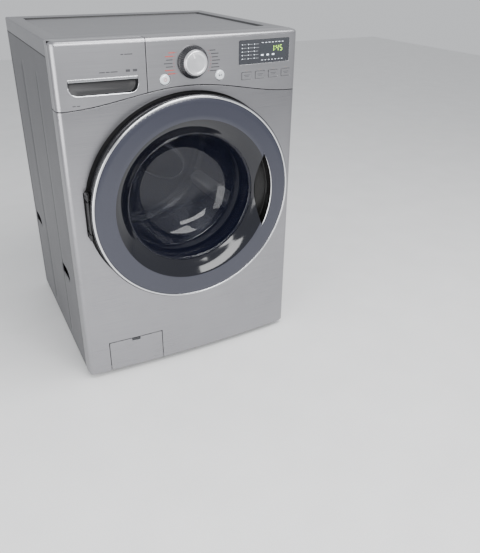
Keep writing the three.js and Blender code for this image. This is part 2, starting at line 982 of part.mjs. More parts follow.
function doorFrame() {
  const f = FRONT;
  const face = f - DOOR_PROUD;
  const trimR = DOOR_R - TRIM_W;
  const ring = turnedY(
    [
      [DISH_R, f - 22],
      [DISH_R + 14, f - 34],
      [WINDOW_R - 12, f - 46],
      [WINDOW_R, face],
      [trimR - 0.5, face],
      [trimR - 0.5, f - 44],
      [WALL_R, f - 44],
      [WALL_R, f - 12],
      [WALL_R - 3.5, f - 12],
      [WALL_R - 3.5, f - 41],
      [trimR - 4, f - 41],
      [trimR - 4, face + 3.5],
      [WINDOW_R + 1, face + 3.5],
      [WINDOW_R - 10, f - 43],
      [DISH_R + 15, f - 31],
      [DISH_R + 3, f - 20.5],
    ],
    RING_SIDES,
  );
  const cup = prismY(
    gripShape(2.5),
    face + 1,
    FRONT + GRIP_FLOOR + 2.5,
  ).intersect(dishFill(2));
  const pocket = prismY(gripShape(0), face - 1, FRONT + GRIP_FLOOR);
  const hingeNotch = box(
    -DOOR_R,
    -WALL_R + 14,
    f - 36,
    f - 10,
    DOOR_Z - BARREL_HALF - 1.5,
    DOOR_Z + BARREL_HALF + 1.5,
  );
  return cut(join(ring, cup), pocket, hingeNotch);
}

// The space behind the door's dish and ring, which the finger pocket's walls stay inside.
function dishFill(inset) {
  const f = FRONT;
  return turnedY(
    [
      [0, f],
      [WALL_R - 5, f],
      [WALL_R - 5, f - DOOR_PROUD + inset],
      [WINDOW_R, f - DOOR_PROUD + inset],
      [WINDOW_R - 12, f - 46 + inset],
      [DISH_R + 14, f - 34 + inset],
      [DISH_R, f - 22 + inset],
      [0, f - 22 + inset],
    ],
    RING_SIDES,
  );
}

// Finger pocket at the right of the window: a lens between the ring's edge and a flatter arc.
function gripShape(grow) {
  const tip = (GRIP_HALF_ANGLE * Math.PI) / 180;
  const outerR = WINDOW_R + GRIP_OUT;
  const tipX = outerR * Math.cos(tip);
  const tipZ = outerR * Math.sin(tip);
  const sag = tipX - (WINDOW_R - GRIP_INSET);
  const innerR = (tipZ ** 2 + sag ** 2) / (2 * sag);
  const innerX = WINDOW_R - GRIP_INSET + innerR;
  const steps = 8;
  const points = [];
  for (let i = 0; i <= steps; i++) {
    const a = tip * ((2 * i) / steps - 1);
    points.push([
      (outerR + grow) * Math.cos(a),
      DOOR_Z + (outerR + grow) * Math.sin(a),
    ]);
  }
  const innerTip = Math.asin(tipZ / innerR);
  for (let i = 0; i <= steps; i++) {
    const a = innerTip * (1 - (2 * i) / steps);
    points.push([
      innerX - (innerR + grow) * Math.cos(a) - (i % steps ? 0 : 0.5),
      DOOR_Z + (innerR + grow) * Math.sin(a),
    ]);
  }
  return outline(points);
}

function doorTrim() {
  const face = FRONT - DOOR_PROUD;
  const inner = DOOR_R - TRIM_W;
  return turnedY(
    [
      [inner, face + 0.5],
      [inner + 2, face],
      [DOOR_R - 3, face + 1],
      [DOOR_R, face + 4],
      [DOOR_R - 1, FRONT - 44 - GAP],
      [inner, FRONT - 44 - GAP],
    ],
    RING_SIDES,
  );
}

// The glass bowl: points of its front surface, then the same wall seen from behind.
function doorGlass() {
  const f = FRONT;
  const t = GLASS_T;
  const depth = GLASS_DEPTH;
  return turnedY(
    [
      [DISH_R + 12, f - 20],
      [DISH_R - 5, f - 20],
      [DISH_R - 14, f],
      [DISH_R - 22, f + 0.28 * depth],
      [DISH_R - 40, f + 0.6 * depth],
      [DISH_R - 70, f + 0.82 * depth],
      [DISH_R - 120, f + 0.93 * depth],
      [0, f + depth - t],
      [0, f + depth],
      [DISH_R - 120 + t / 3, f + 0.93 * depth + t],
      [DISH_R - 70 + (2 * t) / 3, f + 0.82 * depth + t],
      [DISH_R - 40 + t, f + 0.6 * depth + t / 2],
      [DISH_R - 22 + t, f + 0.28 * depth],
      [DISH_R - 14 + t, f],
      [DISH_R - 3, f - 15],
      [DISH_R + 12, f - 15],
    ].reverse(),
    RING_SIDES,
  );
}

function doorCover() {
  const f = FRONT;
  const inner = DISH_R + 0.5;
  const rim = WALL_R - 5.5;
  return turnedY(
    [
      [inner, f - 14.4],
      [inner + 4, f - 14.4],
      [inner + 4, f - 8],
      [inner + 23, f - 5],
      [rim - 20, f - 5],
      [rim - 4, f - 9.5],
      [rim - 4, f - 13],
      [rim, f - 13],
      [rim, f - 8],
      [rim - 19, f - 1.5],
      [inner + 22, f - 1.5],
      [inner, f - 5.5],
    ],
    RING_SIDES,
  );
}

function doorHook() {
  const y = FRONT - 1.5 + GAP;
  return join(
    box(HOOK_X - 8, HOOK_X + 14, y, y + 2, DOOR_Z - 14, DOOR_Z + 14),
    box(HOOK_X - 2, HOOK_X + 6, y + 1, FRONT + 28, DOOR_Z - 6, DOOR_Z + 6),
    box(
      HOOK_X - 6,
      HOOK_X - 1.9,
      FRONT + 22,
      FRONT + 28,
      DOOR_Z - 6,
      DOOR_Z + 6,
    ),
  );
}

function doorLock() {
  const y0 = FRONT + RECESS_FLOOR + SHEET + GAP;
  return cut(
    box(HOOK_X - 16, HOOK_X + 32, y0, y0 + 34, DOOR_Z - 42, DOOR_Z + 42),
    box(
      HOOK_X - 11,
      HOOK_X + 16,
      y0 - 1,
      y0 + 27,
      DOOR_Z - 9,
      DOOR_Z + 9,
    ),
  );
}

// Bracket in the door recess: a base plate with two bored ears.
function hingeBracket() {
  const back = FRONT + RECESS_FLOOR - GAP;
  const half = BARREL_HALF + 6 + EAR_H;
  const halfEar = BARREL_R + 0.2;
  const ears = [-1, 1].map((s) => {
    const [z0, z1] = [half - EAR_H, half].map((h) => DOOR_Z + s * h);
    const [low, high] = [Math.min(z0, z1), Math.max(z0, z1)];
    return cut(
      join(
        barZ(halfEar, low, high, SMALL_SIDES, HINGE_X, HINGE_Y),
        box(
          HINGE_X - halfEar * 0.9,
          HINGE_X + halfEar * 0.9,
          HINGE_Y,
          back,
          low,
          high,
        ),
      ),
      barZ(
        PIN_R + PIN_ROOM,
        low - 1,
        high + 1,
        SMALL_SIDES,
        HINGE_X,
        HINGE_Y,
      ),
    );
  });
  const plate = box(
    HINGE_X - halfEar * 0.9,
    HINGE_X + 18,
    back - 3,
    back,
    DOOR_Z - half,
    DOOR_Z + half,
  );
  return join(plate, ...ears);
}

// The door's half of the hinge: barrel, pin ends and the leaf behind the door.
function hingeArm() {
  const y1 = FRONT + 1;
  const y0 = FRONT - 1.5 + GAP;
  const half = BARREL_HALF;
  return join(
    barZ(
      BARREL_R,
      DOOR_Z - half,
      DOOR_Z + half,
      SMALL_SIDES,
      HINGE_X,
      HINGE_Y,
    ),
    barZ(
      PIN_R,
      DOOR_Z - half - EAR_H,
      DOOR_Z + half + EAR_H,
      SMALL_SIDES,
      HINGE_X,
      HINGE_Y,
    ),
    box(
      HINGE_X - 3,
      HINGE_X + 5,
      HINGE_Y,
      y1,
      DOOR_Z - half + 2,
      DOOR_Z + half - 2,
    ),
    box(
      HINGE_X - 3,
      HINGE_X + 36,
      y0,
      y1,
      DOOR_Z - half + 2,
      DOOR_Z + half - 2,
    ),
  );
}

// Folded rubber bellows between the front panel and the tub's neck.
function doorGasket() {
  const f = FRONT;
  const r = MOUTH_R;
  const end = TUB_FRONT - GAP;
  return turnedY(
    [
      [r - GAP, f + 7],
      [r - GAP, f + 19],
      [r + 11, f + 22],
      [r + 15, f + 30],
      [r + 11, f + 38],
      [r + 4, f + 42],
      [r + 4, f + 50],
      [r + 13, end - 7],
      [r + 13, end],
      [r + 3, end],
      [r + 3, end - 4],
      [r + 0.5, end - 8],
      [r + 0.5, f + 39.5],
      [r + 8, f + 36],
      [r + 11.5, f + 30],
      [r + 8.5, f + 25],
      [r - 3, f + 22.5],
      [r - 12, f + 24],
      [r - 13, f + 21],
      [r - 6, f + 18],
      [r - 6, f + 7],
    ],
    RING_SIDES,
  );
}

// ---------------------------------------------------------------- tub

// Lugs on the outside of the tub: springs hook on above, damper rods press from below.
const springZ = () => TOP - SPRING_UNDER_TOP - SPRING_L;
const springX = () => HALF_W - SPRING_SIDE;
const damperTop = () =>
  DOOR_Z - Math.sqrt(TUB_R ** 2 - DAMPER_X ** 2) - 12;

function tubLugs() {
  const z1 = springZ() - SPRING_WIRE - GAP;
  const reach = Math.sqrt(TUB_R ** 2 - (z1 - 16 - DOOR_Z) ** 2) - 10;
  const spring = box(
    reach - 20,
    springX() + 12,
    SPRING_Y - 12,
    SPRING_Y + 12,
    z1 - 16,
    z1,
  );
  const damper = box(
    DAMPER_X - 20,
    DAMPER_X + 20,
    DAMPER_Y - 15,
    DAMPER_Y + 15,
    damperTop(),
    damperTop() + 45,
  );
  const right = join(spring, damper);
  return [right, right.mirror([1, 0, 0])].map((lug) =>
    cut(lug, barY(TUB_R - 1, TUB_FRONT, BACK, RING_SIDES)),
  );
}

function tubFront() {
  const y = TUB_SHOULDER;
  const neck = TUB_NECK_R;
  const inner = TUB_R - TUB_WALL;
  const shell = turnedY(
    [
      [neck, TUB_FRONT],
      [neck, y + 4],
      [inner - 12, y + 14],
      [inner, y + 26],
      [inner, TUB_SEAM],
      [TUB_R + 6, TUB_SEAM],
      [TUB_R + 6, TUB_SEAM - 8],
      [TUB_R, TUB_SEAM - 12],
      [TUB_R, y + 24],
      [inner - 10, y + 9.5],
      [neck + 5, y - 0.5],
      [neck + 5, TUB_FRONT],
    ],
    RING_SIDES,
  );
  const wallZ = DOOR_Z - Math.sqrt(TUB_R ** 2 - SUMP_X ** 2);
  const spoutY = FRONT + SUMP_DEPTH;
  const spout = cut(
    barZ(
      SUMP_R + 5,
      wallZ - 20,
      wallZ + 25,
      MID_SIDES,
      SUMP_X,
      spoutY,
    ),
    barY(inner + 1, TUB_FRONT, TUB_BACK, RING_SIDES),
  );
  const way = barZ(SUMP_R, wallZ - 30, wallZ + 60, MID_SIDES, SUMP_X, spoutY);
  return cut(join(shell, spout), way);
}

function tubRear() {
  const seam = TUB_SEAM + GAP;
  const inner = TUB_R - TUB_WALL;
  const wall = TUB_BACK;
  const shell = turnedY(
    [
      [inner, seam],
      [inner, wall - 15],
      [inner - 10, wall - 5],
      [SHAFT_R + 4, wall - 5],
      [SHAFT_R + 4, wall + 2],
      [BEARING_R + GAP, wall + 2],
      [BEARING_R + GAP, HUB_END],
      [HUB_R, HUB_END],
      [HUB_R, wall + 4],
      [inner - 16, wall],
      [TUB_R, wall - 14],
      [TUB_R, seam + 12],
      [TUB_R + 6, seam + 8],
      [TUB_R + 6, seam],
    ],
    RING_SIDES,
  );
  return join(shell, ...tubLugs());
}

// A crescent of concrete on the tub's front, above or below the door opening.
function counterweight(sign) {
  const half = ((WEIGHT_SPAN / 2) * Math.PI) / 180;
  const middle = (sign * Math.PI) / 2;
  const s = new THREE.Shape();
  s.absarc(0, DOOR_Z, TUB_R - 4, middle - half, middle + half, false);
  s.absarc(0, DOOR_Z, TUB_NECK_R + 12, middle + half, middle - half, true);
  return prismY(s, TUB_FRONT, TUB_FRONT + WEIGHT_T, 14);
}

function stator() {
  const root = STATOR_R - 24;
  const points = [];
  const pitch = (2 * Math.PI) / STATOR_TEETH;
  for (let i = 0; i < STATOR_TEETH; i++) {
    const a = i * pitch;
    for (const [r, share] of [
      [root, 0],
      [STATOR_R, 0.15],
      [STATOR_R, 0.6],
      [root, 0.75],
    ])
      points.push([
        r * Math.cos(a + share * pitch),
        DOOR_Z + r * Math.sin(a + share * pitch),
      ]);
  }
  const y0 = TUB_BACK + 14;
  const y1 = y0 + 24;
  return cut(
    prismY(outline(points), y0, y1),
    barY(HUB_R + GAP, y0 - 1, y1 + 1, RING_SIDES),
  );
}

const bearing = (y0) =>
  turnedY(
    [
      [SHAFT_R + GAP, y0],
      [BEARING_R, y0],
      [BEARING_R, y0 + BEARING_L],
      [SHAFT_R + GAP, y0 + BEARING_L],
    ],
    MID_SIDES,
  );

// ---------------------------------------------------------------- drum

function drumShell() {
  const t = DRUM_SHEET;
  const [y0, y1, r, mouth] = [DRUM_FRONT, DRUM_BACK, DRUM_R, DRUM_MOUTH_R];
  return turnedY(
    [
      [0, y1 - t],
      [r - 12 - t / 2, y1 - t],
      [r - t, y1 - 12 - t / 2],
      [r - t, y0 + 50.6],
      [r - 16.6, y0 + 34],
      [mouth - t, y0 + 22],
      [mouth - t, y0],
      [mouth, y0],
      [mouth, y0 + 20.6],
      [r - 16, y0 + 32.5],
      [r, y0 + 50],
      [r, y1 - 12],
      [r - 12, y1],
      [0, y1],
    ],
    RING_SIDES,
  );
}

function lifter(index) {
  const angle = Math.PI / 2 + (index * 2 * Math.PI) / LIFTER_COUNT;
  const seat = (DRUM_R - DRUM_SHEET) * Math.cos(Math.PI / RING_SIDES) - 2 * GAP;
  const half = LIFTER_W / 2;
  const tip = DRUM_R - DRUM_SHEET - LIFTER_H;
  const section = [];
  for (const w of [-half, -half / 3, half / 3, half])
    section.push([w, Math.sqrt(seat ** 2 - w ** 2)]);
  section.push(
    [half * 0.72, seat - 14],
    [half * 0.42, tip + 8],
    [half * 0.2, tip],
    [-half * 0.2, tip],
    [-half * 0.42, tip + 8],
    [-half * 0.72, seat - 14],
  );
  const turned = section.map(([w, r]) => [
    r * Math.cos(angle) - w * Math.sin(angle),
    DOOR_Z + r * Math.sin(angle) + w * Math.cos(angle),
  ]);
  return prismY(outline(turned), DRUM_FRONT + 56, DRUM_BACK - 20);
}

// Cast star behind the drum that carries it on the shaft.
function spider() {
  const y0 = DRUM_BACK + GAP;
  const armL = DRUM_R - 26;
  const points = [];
  for (let i = 0; i < LIFTER_COUNT; i++) {
    const a = Math.PI / 2 + (i * 2 * Math.PI) / LIFTER_COUNT;
    for (const [r, w] of [
      [armL, -12],
      [armL, 12],
      [44, 26],
    ])
      points.push([
        r * Math.cos(a) - w * Math.sin(a),
        DOOR_Z + r * Math.sin(a) + w * Math.cos(a),
      ]);
  }
  return join(
    prismY(outline(points), y0, y0 + SPIDER_T),
    barY(SHAFT_R + 20, y0, y0 + SPIDER_T + 2, MID_SIDES),
  );
}

const driveShaft = () =>
  barY(SHAFT_R, DRUM_BACK + SPIDER_T + 2 + 2 * GAP, HUB_END + 20, MID_SIDES);

function rotor() {
  const inner = SHAFT_R + GAP;
  const y = HUB_END;
  return turnedY(
    [
      [inner, y + 2],
      [28, y + 2],
      [28, y + 4],
      [ROTOR_R - 6, y + 4],
      [ROTOR_R - 6, y - 32],
      [ROTOR_R, y - 32],
      [ROTOR_R, y + 7],
      [28, y + 7],
      [28, y + 12],
      [inner, y + 12],
    ],
    MID_SIDES,
  );
}

// ---------------------------------------------------------------- suspension

function hangingSpring(side) {
  const coilSteps = 7;
  const z0 = springZ();
  const count = SPRING_TURNS * coilSteps;
  const points = [];
  for (let i = 0; i <= count; i++) {
    const a = (i * 2 * Math.PI) / coilSteps;
    points.push(
      new THREE.Vector3(
        side * springX() + SPRING_R * Math.cos(a),
        SPRING_Y + SPRING_R * Math.sin(a),
        z0 + (SPRING_L * i) / count,
      ),
    );
  }
  const wire = new THREE.Shape();
  wire.absarc(0, 0, SPRING_WIRE, 0, 2 * Math.PI);
  return solid(
    new THREE.ExtrudeGeometry(wire, {
      steps: count,
      curveSegments: 3,
      bevelEnabled: false,
      extrudePath: new THREE.CatmullRomCurve3(points),
    }),
  );
}

const damperCylinder = (side) =>
  turnedZ(
    [
      [0, BASE_Z1 + GAP],
      [DAMPER_R, BASE_Z1 + GAP],
      [DAMPER_R, BASE_Z1 + DAMPER_H],
      [DAMPER_BORE_R, BASE_Z1 + DAMPER_H],
      [DAMPER_BORE_R, BASE_Z1 + 12],
      [0, BASE_Z1 + 12],
    ],
    SMALL_SIDES,
    side * DAMPER_X,
    DAMPER_Y,
  );

const damperRod = (side) =>
  barZ(
    DAMPER_ROD_R,
    BASE_Z1 + 12 + 4 * FLOAT,
    damperTop() - GAP,
    SMALL_SIDES,
    side * DAMPER_X,
    DAMPER_Y,
  );

// ---------------------------------------------------------------- pump, hoses, fittings

const PUMP_X = (COVER_X[0] + COVER_X[1]) / 2;
const PUMP_FRONT = FRONT + 16;
const PUMP_INLET_Y = PUMP_FRONT + 62;
const PUMP_BACK = PUMP_FRONT + 150;

// Pump body with its filter bore in front, inlet on top and outlet at the side.
function drainPump() {
  const outer = join(
    barY(PUMP_R, PUMP_FRONT, PUMP_FRONT + 92, MID_SIDES, PUMP_X, PUMP_Z),
    barY(
      PUMP_R - 8,
      PUMP_FRONT + 91,
      PUMP_BACK,
      MID_SIDES,
      PUMP_X,
      PUMP_Z,
    ),
    barZ(
      SUMP_R + 2,
      PUMP_Z,
      PUMP_Z + PUMP_R + 24,
      SMALL_SIDES,
      PUMP_X,
      PUMP_INLET_Y,
    ),
    solid(
      new THREE.CylinderGeometry(DRAIN_R, DRAIN_R, 40, 12)
        .rotateZ(Math.PI / 2)
        .translate(PUMP_X - PUMP_R - 12, PUMP_FRONT + 78, PUMP_Z),
    ),
  );
  return cut(
    outer,
    barY(
      FILTER_R + 1.5,
      PUMP_FRONT - 1,
      PUMP_FRONT + 84,
      MID_SIDES,
      PUMP_X,
      PUMP_Z,
    ),
    barZ(
      SUMP_R - 2,
      PUMP_Z,
      PUMP_Z + PUMP_R + 25,
      SMALL_SIDES,
      PUMP_X,
      PUMP_INLET_Y,
    ),
  );
}

// The filter's cap with its grip bar, and the sieve behind it.
function drainFilter() {
  const y = PUMP_FRONT;
  const body = turnedY(
    [
      [0, y - 8],
      [FILTER_R, y - 8],
      [FILTER_R + 4, y - 6],
      [FILTER_R + 4, y - 1],
      [FILTER_R, y - 1],
      [FILTER_R, y + 10],
      [FILTER_R - 8, y + 12],
      [FILTER_R - 8, y + 34],
      [0, y + 34],
    ],
    MID_SIDES,
    PUMP_X,
    PUMP_Z,
  );
  const grip = box(
    PUMP_X - FILTER_R + 6,
    PUMP_X + FILTER_R - 6,
    y - 17,
    y - 7.5,
    PUMP_Z - 3.5,
    PUMP_Z + 3.5,
  );
  return join(body, grip);
}

function hose(points, outerR, steps, sides) {
  const section = new THREE.Shape();
  section.absarc(0, 0, outerR, 0, 2 * Math.PI);
  return solid(
    new THREE.ExtrudeGeometry(section, {
      steps,
      curveSegments: sides / 2,
      bevelEnabled: false,
      extrudePath: new THREE.CatmullRomCurve3(
        points.map(([x, y, z]) => new THREE.Vector3(x, y, z)),
      ),
    }),
  );
}

function sumpHose() {
  const topZ =
    DOOR_Z - Math.sqrt(TUB_R ** 2 - SUMP_X ** 2) - 20 - GAP;
  const lowZ = PUMP_Z + PUMP_R + 24 + GAP;
  const y1 = FRONT + SUMP_DEPTH;
  return hose(
    [
      [PUMP_X, PUMP_INLET_Y, lowZ],
      [PUMP_X, PUMP_INLET_Y, lowZ + 20],
      [(PUMP_X + SUMP_X) / 2, (PUMP_INLET_Y + y1) / 2, (lowZ + topZ) / 2],
      [SUMP_X, y1, topZ - 18],
      [SUMP_X, y1, topZ],
    ],
    SUMP_R + HOSE_WALL,
    12,
    10,
  );
}

function drainHose() {
  const x = DRAIN_OUT[0];
  const z = TOP - DRAIN_OUT[1];
  const startX = PUMP_X - PUMP_R - 32 - GAP;
  const y = PUMP_FRONT + 78;
  const cornerY = BACK - 34;
  return hose(
    [
      [startX, y, PUMP_Z],
      [startX - 14, y, PUMP_Z],
      [x - 14, y + 40, PUMP_Z + 2],
      [x - 14, (y + cornerY) / 2, PUMP_Z + 4],
      [x - 12, cornerY - 30, PUMP_Z + 6],
      [x - 6, cornerY, PUMP_Z + 50],
      [x, cornerY, PUMP_Z + 200],
      [x, cornerY, z - 150],
      [x, cornerY, z - 40],
      [x, cornerY + 12, z - 6],
      [x, BACK - 4, z],
      [x, BACK + 30, z],
    ],
    DRAIN_R,
    36,
    8,
  );
}

// Cold and hot water valve: a body inside the back sheet and two hose nozzles through it.
function inletValve() {
  const z = TOP - INLET_UNDER_TOP;
  const y1 = BACK - SHEET - GAP;
  const body = box(
    INLET_XS[0] - 25,
    INLET_XS[1] + 25,
    y1 - 46,
    y1,
    z - 20,
    z + 20,
  );
  const nozzles = INLET_XS.map((x) =>
    barY(INLET_R, y1 - 5, BACK + FITTING_REACH, SMALL_SIDES, x, z),
  );
  const bores = INLET_XS.map((x) =>
    barY(
      INLET_BORE_R,
      BACK + 6,
      BACK + FITTING_REACH + 1,
      SMALL_SIDES,
      x,
      z,
    ),
  );
  return cut(join(body, ...nozzles), ...bores);
}

// Strain relief bushing for the mains lead.
const cordGland = () =>
  turnedY(
    [
      [4.5, BACK - SHEET - 6],
      [11, BACK - SHEET - 6],
      [11, BACK - SHEET - GAP],
      [8.5, BACK - SHEET - GAP],
      [8.5, BACK + GAP],
      [12, BACK + GAP],
      [11, BACK + 6],
      [7.5, BACK + 22],
      [4.5, BACK + 22],
    ],
    SMALL_SIDES,
    GLAND[0],
    TOP - GLAND[1],
  );

// Bowed flap over the filter, with a finger notch in its upper edge.
function serviceCover() {
  const inset = SEAM / 2;
  const z0 = LOW + 1;
  const slab = cut(
    bowBlock(0, 20, z0, LOW + COVER_H + 20),
    bowBlock(COVER_T, 21, z0 - 1, LOW + COVER_H + 21),
  ).intersect(serviceOpening(inset, FRONT - BOW - 5, FRONT + 10));
  const notch = box(
    PUMP_X - 13,
    PUMP_X + 13,
    FRONT - BOW - 5,
    FRONT + 10,
    LOW + COVER_H - 9,
    LOW + COVER_H + 1,
  );
  return cut(slab, notch);
}

// ---------------------------------------------------------------- assembly

add("base_frame", baseFrame(), "zinc");
for (const [name, x, y] of footPlaces()) add(name, foot(x, y), "blackRubber");
add("side_panel_left", sidePanel(-1), "casing");
add("side_panel_right", sidePanel(1), "casing");
add("rear_panel", rearPanel(), "zinc");
add("rear_cover", rearCover(), "zinc");
add("front_panel", frontPanel(), "brushed");
add("top_plate", topPlate(), "top");

add("control_panel", controlPanel(), "brushed");
add("display_window", displayWindow(), "darkGloss");
add("control_board", controlBoard(), "board");
add("dial_knob", dialKnob(), "chrome");
add("power_button", pushButton(BUTTON_OFFSETS[0]), "whitePlastic");
add("start_button", pushButton(BUTTON_OFFSETS[1]), "whitePlastic");
keyPlaces().forEach((x, i) =>
  add(`option_key_${i + 1}`, optionKey(x), "brushed"),
);
add("drawer_front", drawerFront(), "brushed");
add("drawer_tray", drawerTray(), "whitePlastic");
add("dispenser_housing", dispenserHousing(), "whitePlastic");

add("door_frame", doorFrame(), "tinted");
add("door_trim", doorTrim(), "chrome");
add("door_glass", doorGlass(), "glass");
add("door_cover", doorCover(), "darkPlastic");
add("door_hook", doorHook(), "zinc");
add("door_hinge_arm", hingeArm(), "iron");
add("door_hinge_bracket", hingeBracket(), "zinc");
add("door_lock", doorLock(), "darkPlastic");
add("door_gasket", doorGasket(), "rubber");

add("tub_front", tubFront(), "greyPlastic");
add("tub_rear", tubRear(), "greyPlastic");
add("counterweight_top", counterweight(1), "concrete");
add("counterweight_bottom", counterweight(-1), "concrete");
add("stator", stator(), "iron");
add("bearing_front", bearing(TUB_BACK + 2 + GAP), "steel");
add("bearing_rear", bearing(HUB_END - BEARING_L - 2), "steel");

add("drum", drumShell(), "steel");
for (let i = 0; i < LIFTER_COUNT; i++)
  add(`lifter_${i + 1}`, lifter(i), "greyPlastic");
add("spider", spider(), "aluminium");
add("drive_shaft", driveShaft(), "steel");
add("rotor", rotor(), "zinc");

for (const [side, name] of [
  [-1, "left"],
  [1, "right"],
]) {
  add(`spring_${name}`, hangingSpring(side), "steel");
  add(`damper_cylinder_${name}`, damperCylinder(side), "darkPlastic");
  add(`damper_rod_${name}`, damperRod(side), "steel");
}

add("drain_pump", drainPump(), "whitePlastic");
add("drain_filter", drainFilter(), "darkPlastic");
add("sump_hose", sumpHose(), "blackRubber");
add("drain_hose", drainHose(), "greyPlastic");
add("inlet_valve", inletValve(), "whitePlastic");
add("cord_gland", cordGland(), "blackRubber");
add("service_cover", serviceCover(), "brushed");

export default machine;
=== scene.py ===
"""Front load washing machine: smooth outer pieces, finishes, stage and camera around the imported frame."""

import json
import math

import bmesh
import bpy
import numpy as np
from mathutils import Matrix, Vector
from mathutils.geometry import delaunay_2d_cdt


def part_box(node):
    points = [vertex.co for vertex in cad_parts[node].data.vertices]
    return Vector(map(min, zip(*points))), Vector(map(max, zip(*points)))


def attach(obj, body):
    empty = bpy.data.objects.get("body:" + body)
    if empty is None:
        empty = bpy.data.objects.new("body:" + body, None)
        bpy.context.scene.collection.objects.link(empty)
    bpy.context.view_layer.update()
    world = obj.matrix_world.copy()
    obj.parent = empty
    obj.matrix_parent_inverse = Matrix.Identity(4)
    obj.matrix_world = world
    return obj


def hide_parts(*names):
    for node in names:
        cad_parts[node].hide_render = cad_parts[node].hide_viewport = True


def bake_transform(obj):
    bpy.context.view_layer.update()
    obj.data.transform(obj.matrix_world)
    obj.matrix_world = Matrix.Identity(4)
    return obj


bl_info = {
    "name": "Front load washing machine",
    "version": (1, 0, 0),
    "blender": (4, 5, 0),
    "location": "3D View > Sidebar > Washer",
    "description": "Builds the washing machine's visible pieces around its frame",
    "category": "Object",
}

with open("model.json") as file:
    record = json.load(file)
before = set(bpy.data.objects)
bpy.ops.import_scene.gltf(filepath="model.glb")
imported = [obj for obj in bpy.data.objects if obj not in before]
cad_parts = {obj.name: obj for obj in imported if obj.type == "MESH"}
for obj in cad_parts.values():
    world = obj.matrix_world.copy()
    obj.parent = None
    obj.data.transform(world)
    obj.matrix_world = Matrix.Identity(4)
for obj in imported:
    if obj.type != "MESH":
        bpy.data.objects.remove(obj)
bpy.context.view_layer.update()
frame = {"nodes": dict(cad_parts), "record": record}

# ---------------------------------------------------------------- sizes, in millimetres

BOW = 15.0  # bulge of the front
EDGE_R = 17.0  # rounded upright edges
CROWN_R = 9.0  # rounded upper edge of the front
RETURN_D = 50.0  # the front's fold along the sides
SEAM = 2.0
FASCIA_MID_H = 124.0  # control panel's height in the middle
FASCIA_DROP = 40.5  # how much lower its seam runs at the sides
DRAWER_DEPTH = 18.0
SHEET = 1.2
MOULDING = 3.0
WINDOW_R = 234.0  # inner edge of the door's tinted ring
GRIP_R = 241.0  # outer arc of the door's finger pocket
GRIP_HALF_ANGLE = math.radians(28)
GRIP_X = 198.0  # the pocket's inmost point
POCKET_W = 175.0  # finger pocket of the drawer
POCKET_H = 40.0
SIDE_BEADS = (220, 440, 630)  # pressed lines, way back from the front
SIDE_SLOTS = ((184, 270), (590, 287))  # long holes: way back, height over the lower edge
SLOT_HALF = 48  # half their length
SLOT_RISE = 14  # half their height
STAR_IN, STAR_OUT = 70, 150  # the drum back's arms: where they start, how far they reach


def corners(node):
    """Lowest and highest corner of a frame node, in millimetres."""
    lo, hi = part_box(node)
    return [c * 1000 for c in lo], [c * 1000 for c in hi]


def middle(node):
    """Middle of a frame node as seen from the front, x and z."""
    lo, hi = corners(node)
    return (lo[0] + hi[0]) / 2, (lo[2] + hi[2]) / 2


(_, _panel_y0, LOW), (HALF_W, _, _) = corners("front_panel")
FRONT = _panel_y0 + BOW
BACK = corners("rear_panel")[1][1]
TOP = corners("top_plate")[1][2]
SKIRT_Z = corners("top_plate")[0][2]
_trim_lo, _trim_hi = corners("door_trim")
DOOR_R = (_trim_hi[0] - _trim_lo[0]) / 2
SKIN_R = DOOR_R + 3.4  # edge of the front's round opening
DOOR_Z = (_trim_hi[2] + _trim_lo[2]) / 2
FACE = _trim_lo[1]  # the door's face
TRIM_R = DOOR_R - 9
DISH_R = WINDOW_R - 42
WALL_R = DOOR_R - 4  # the door's side wall
FLOOR_Y = FRONT + 5  # floor of the door recess
MOUTH_R = 195.0  # opening that the clothes go through
SPLIT_X = corners("drawer_front")[1][0] + SEAM / 2
FLAT = HALF_W - EDGE_R  # half the width between the rounded edges
ARC = EDGE_R * math.pi / 2
POCKET = (-HALF_W + 33, -HALF_W + 33 + POCKET_W, TOP - 90 - POCKET_H, TOP - 90)


def bow_y(x):
    """The front's surface at x, before its edges are rounded."""
    return FRONT - BOW * (1 - (x / HALF_W) ** 2)


def seam_z(x):
    """Height of the seam under the control panel."""
    return TOP - FASCIA_MID_H - FASCIA_DROP * math.sin(math.pi * x / (2 * HALF_W)) ** 2


CORNER_Y = bow_y(FLAT) + EDGE_R


def girth(depth):
    """Way along the bowed front, from its middle to that depth behind the side edges."""
    return FLAT + ARC + FRONT + depth - CORNER_Y


def around(s):
    """Place and outward direction on the bowed front's plan, s along it from the middle."""
    side = 1 if s >= 0 else -1
    a = abs(s)
    if a <= FLAT:
        slope = 2 * BOW * a / HALF_W**2
        size = math.hypot(slope, 1)
        return side * a, bow_y(a), side * slope / size, -1 / size
    if a <= FLAT + ARC:
        turn = (a - FLAT) / EDGE_R
        x = FLAT + EDGE_R * math.sin(turn)
        y = CORNER_Y - EDGE_R * math.cos(turn)
        return side * x, y, side * math.sin(turn), -math.cos(turn)
    return side * HALF_W, CORNER_Y + a - FLAT - ARC, side, 0.0


def on_front(s, z, depth):
    """A point that far under the bowed front's surface."""
    x, y, nx, ny = around(s)
    return x - nx * depth, y - ny * depth, z


def under_front(shift):
    """The front's surface moved inward, for plate."""
    return lambda s, z, depth: on_front(s, z, depth + shift)


# ---------------------------------------------------------------- mesh helpers


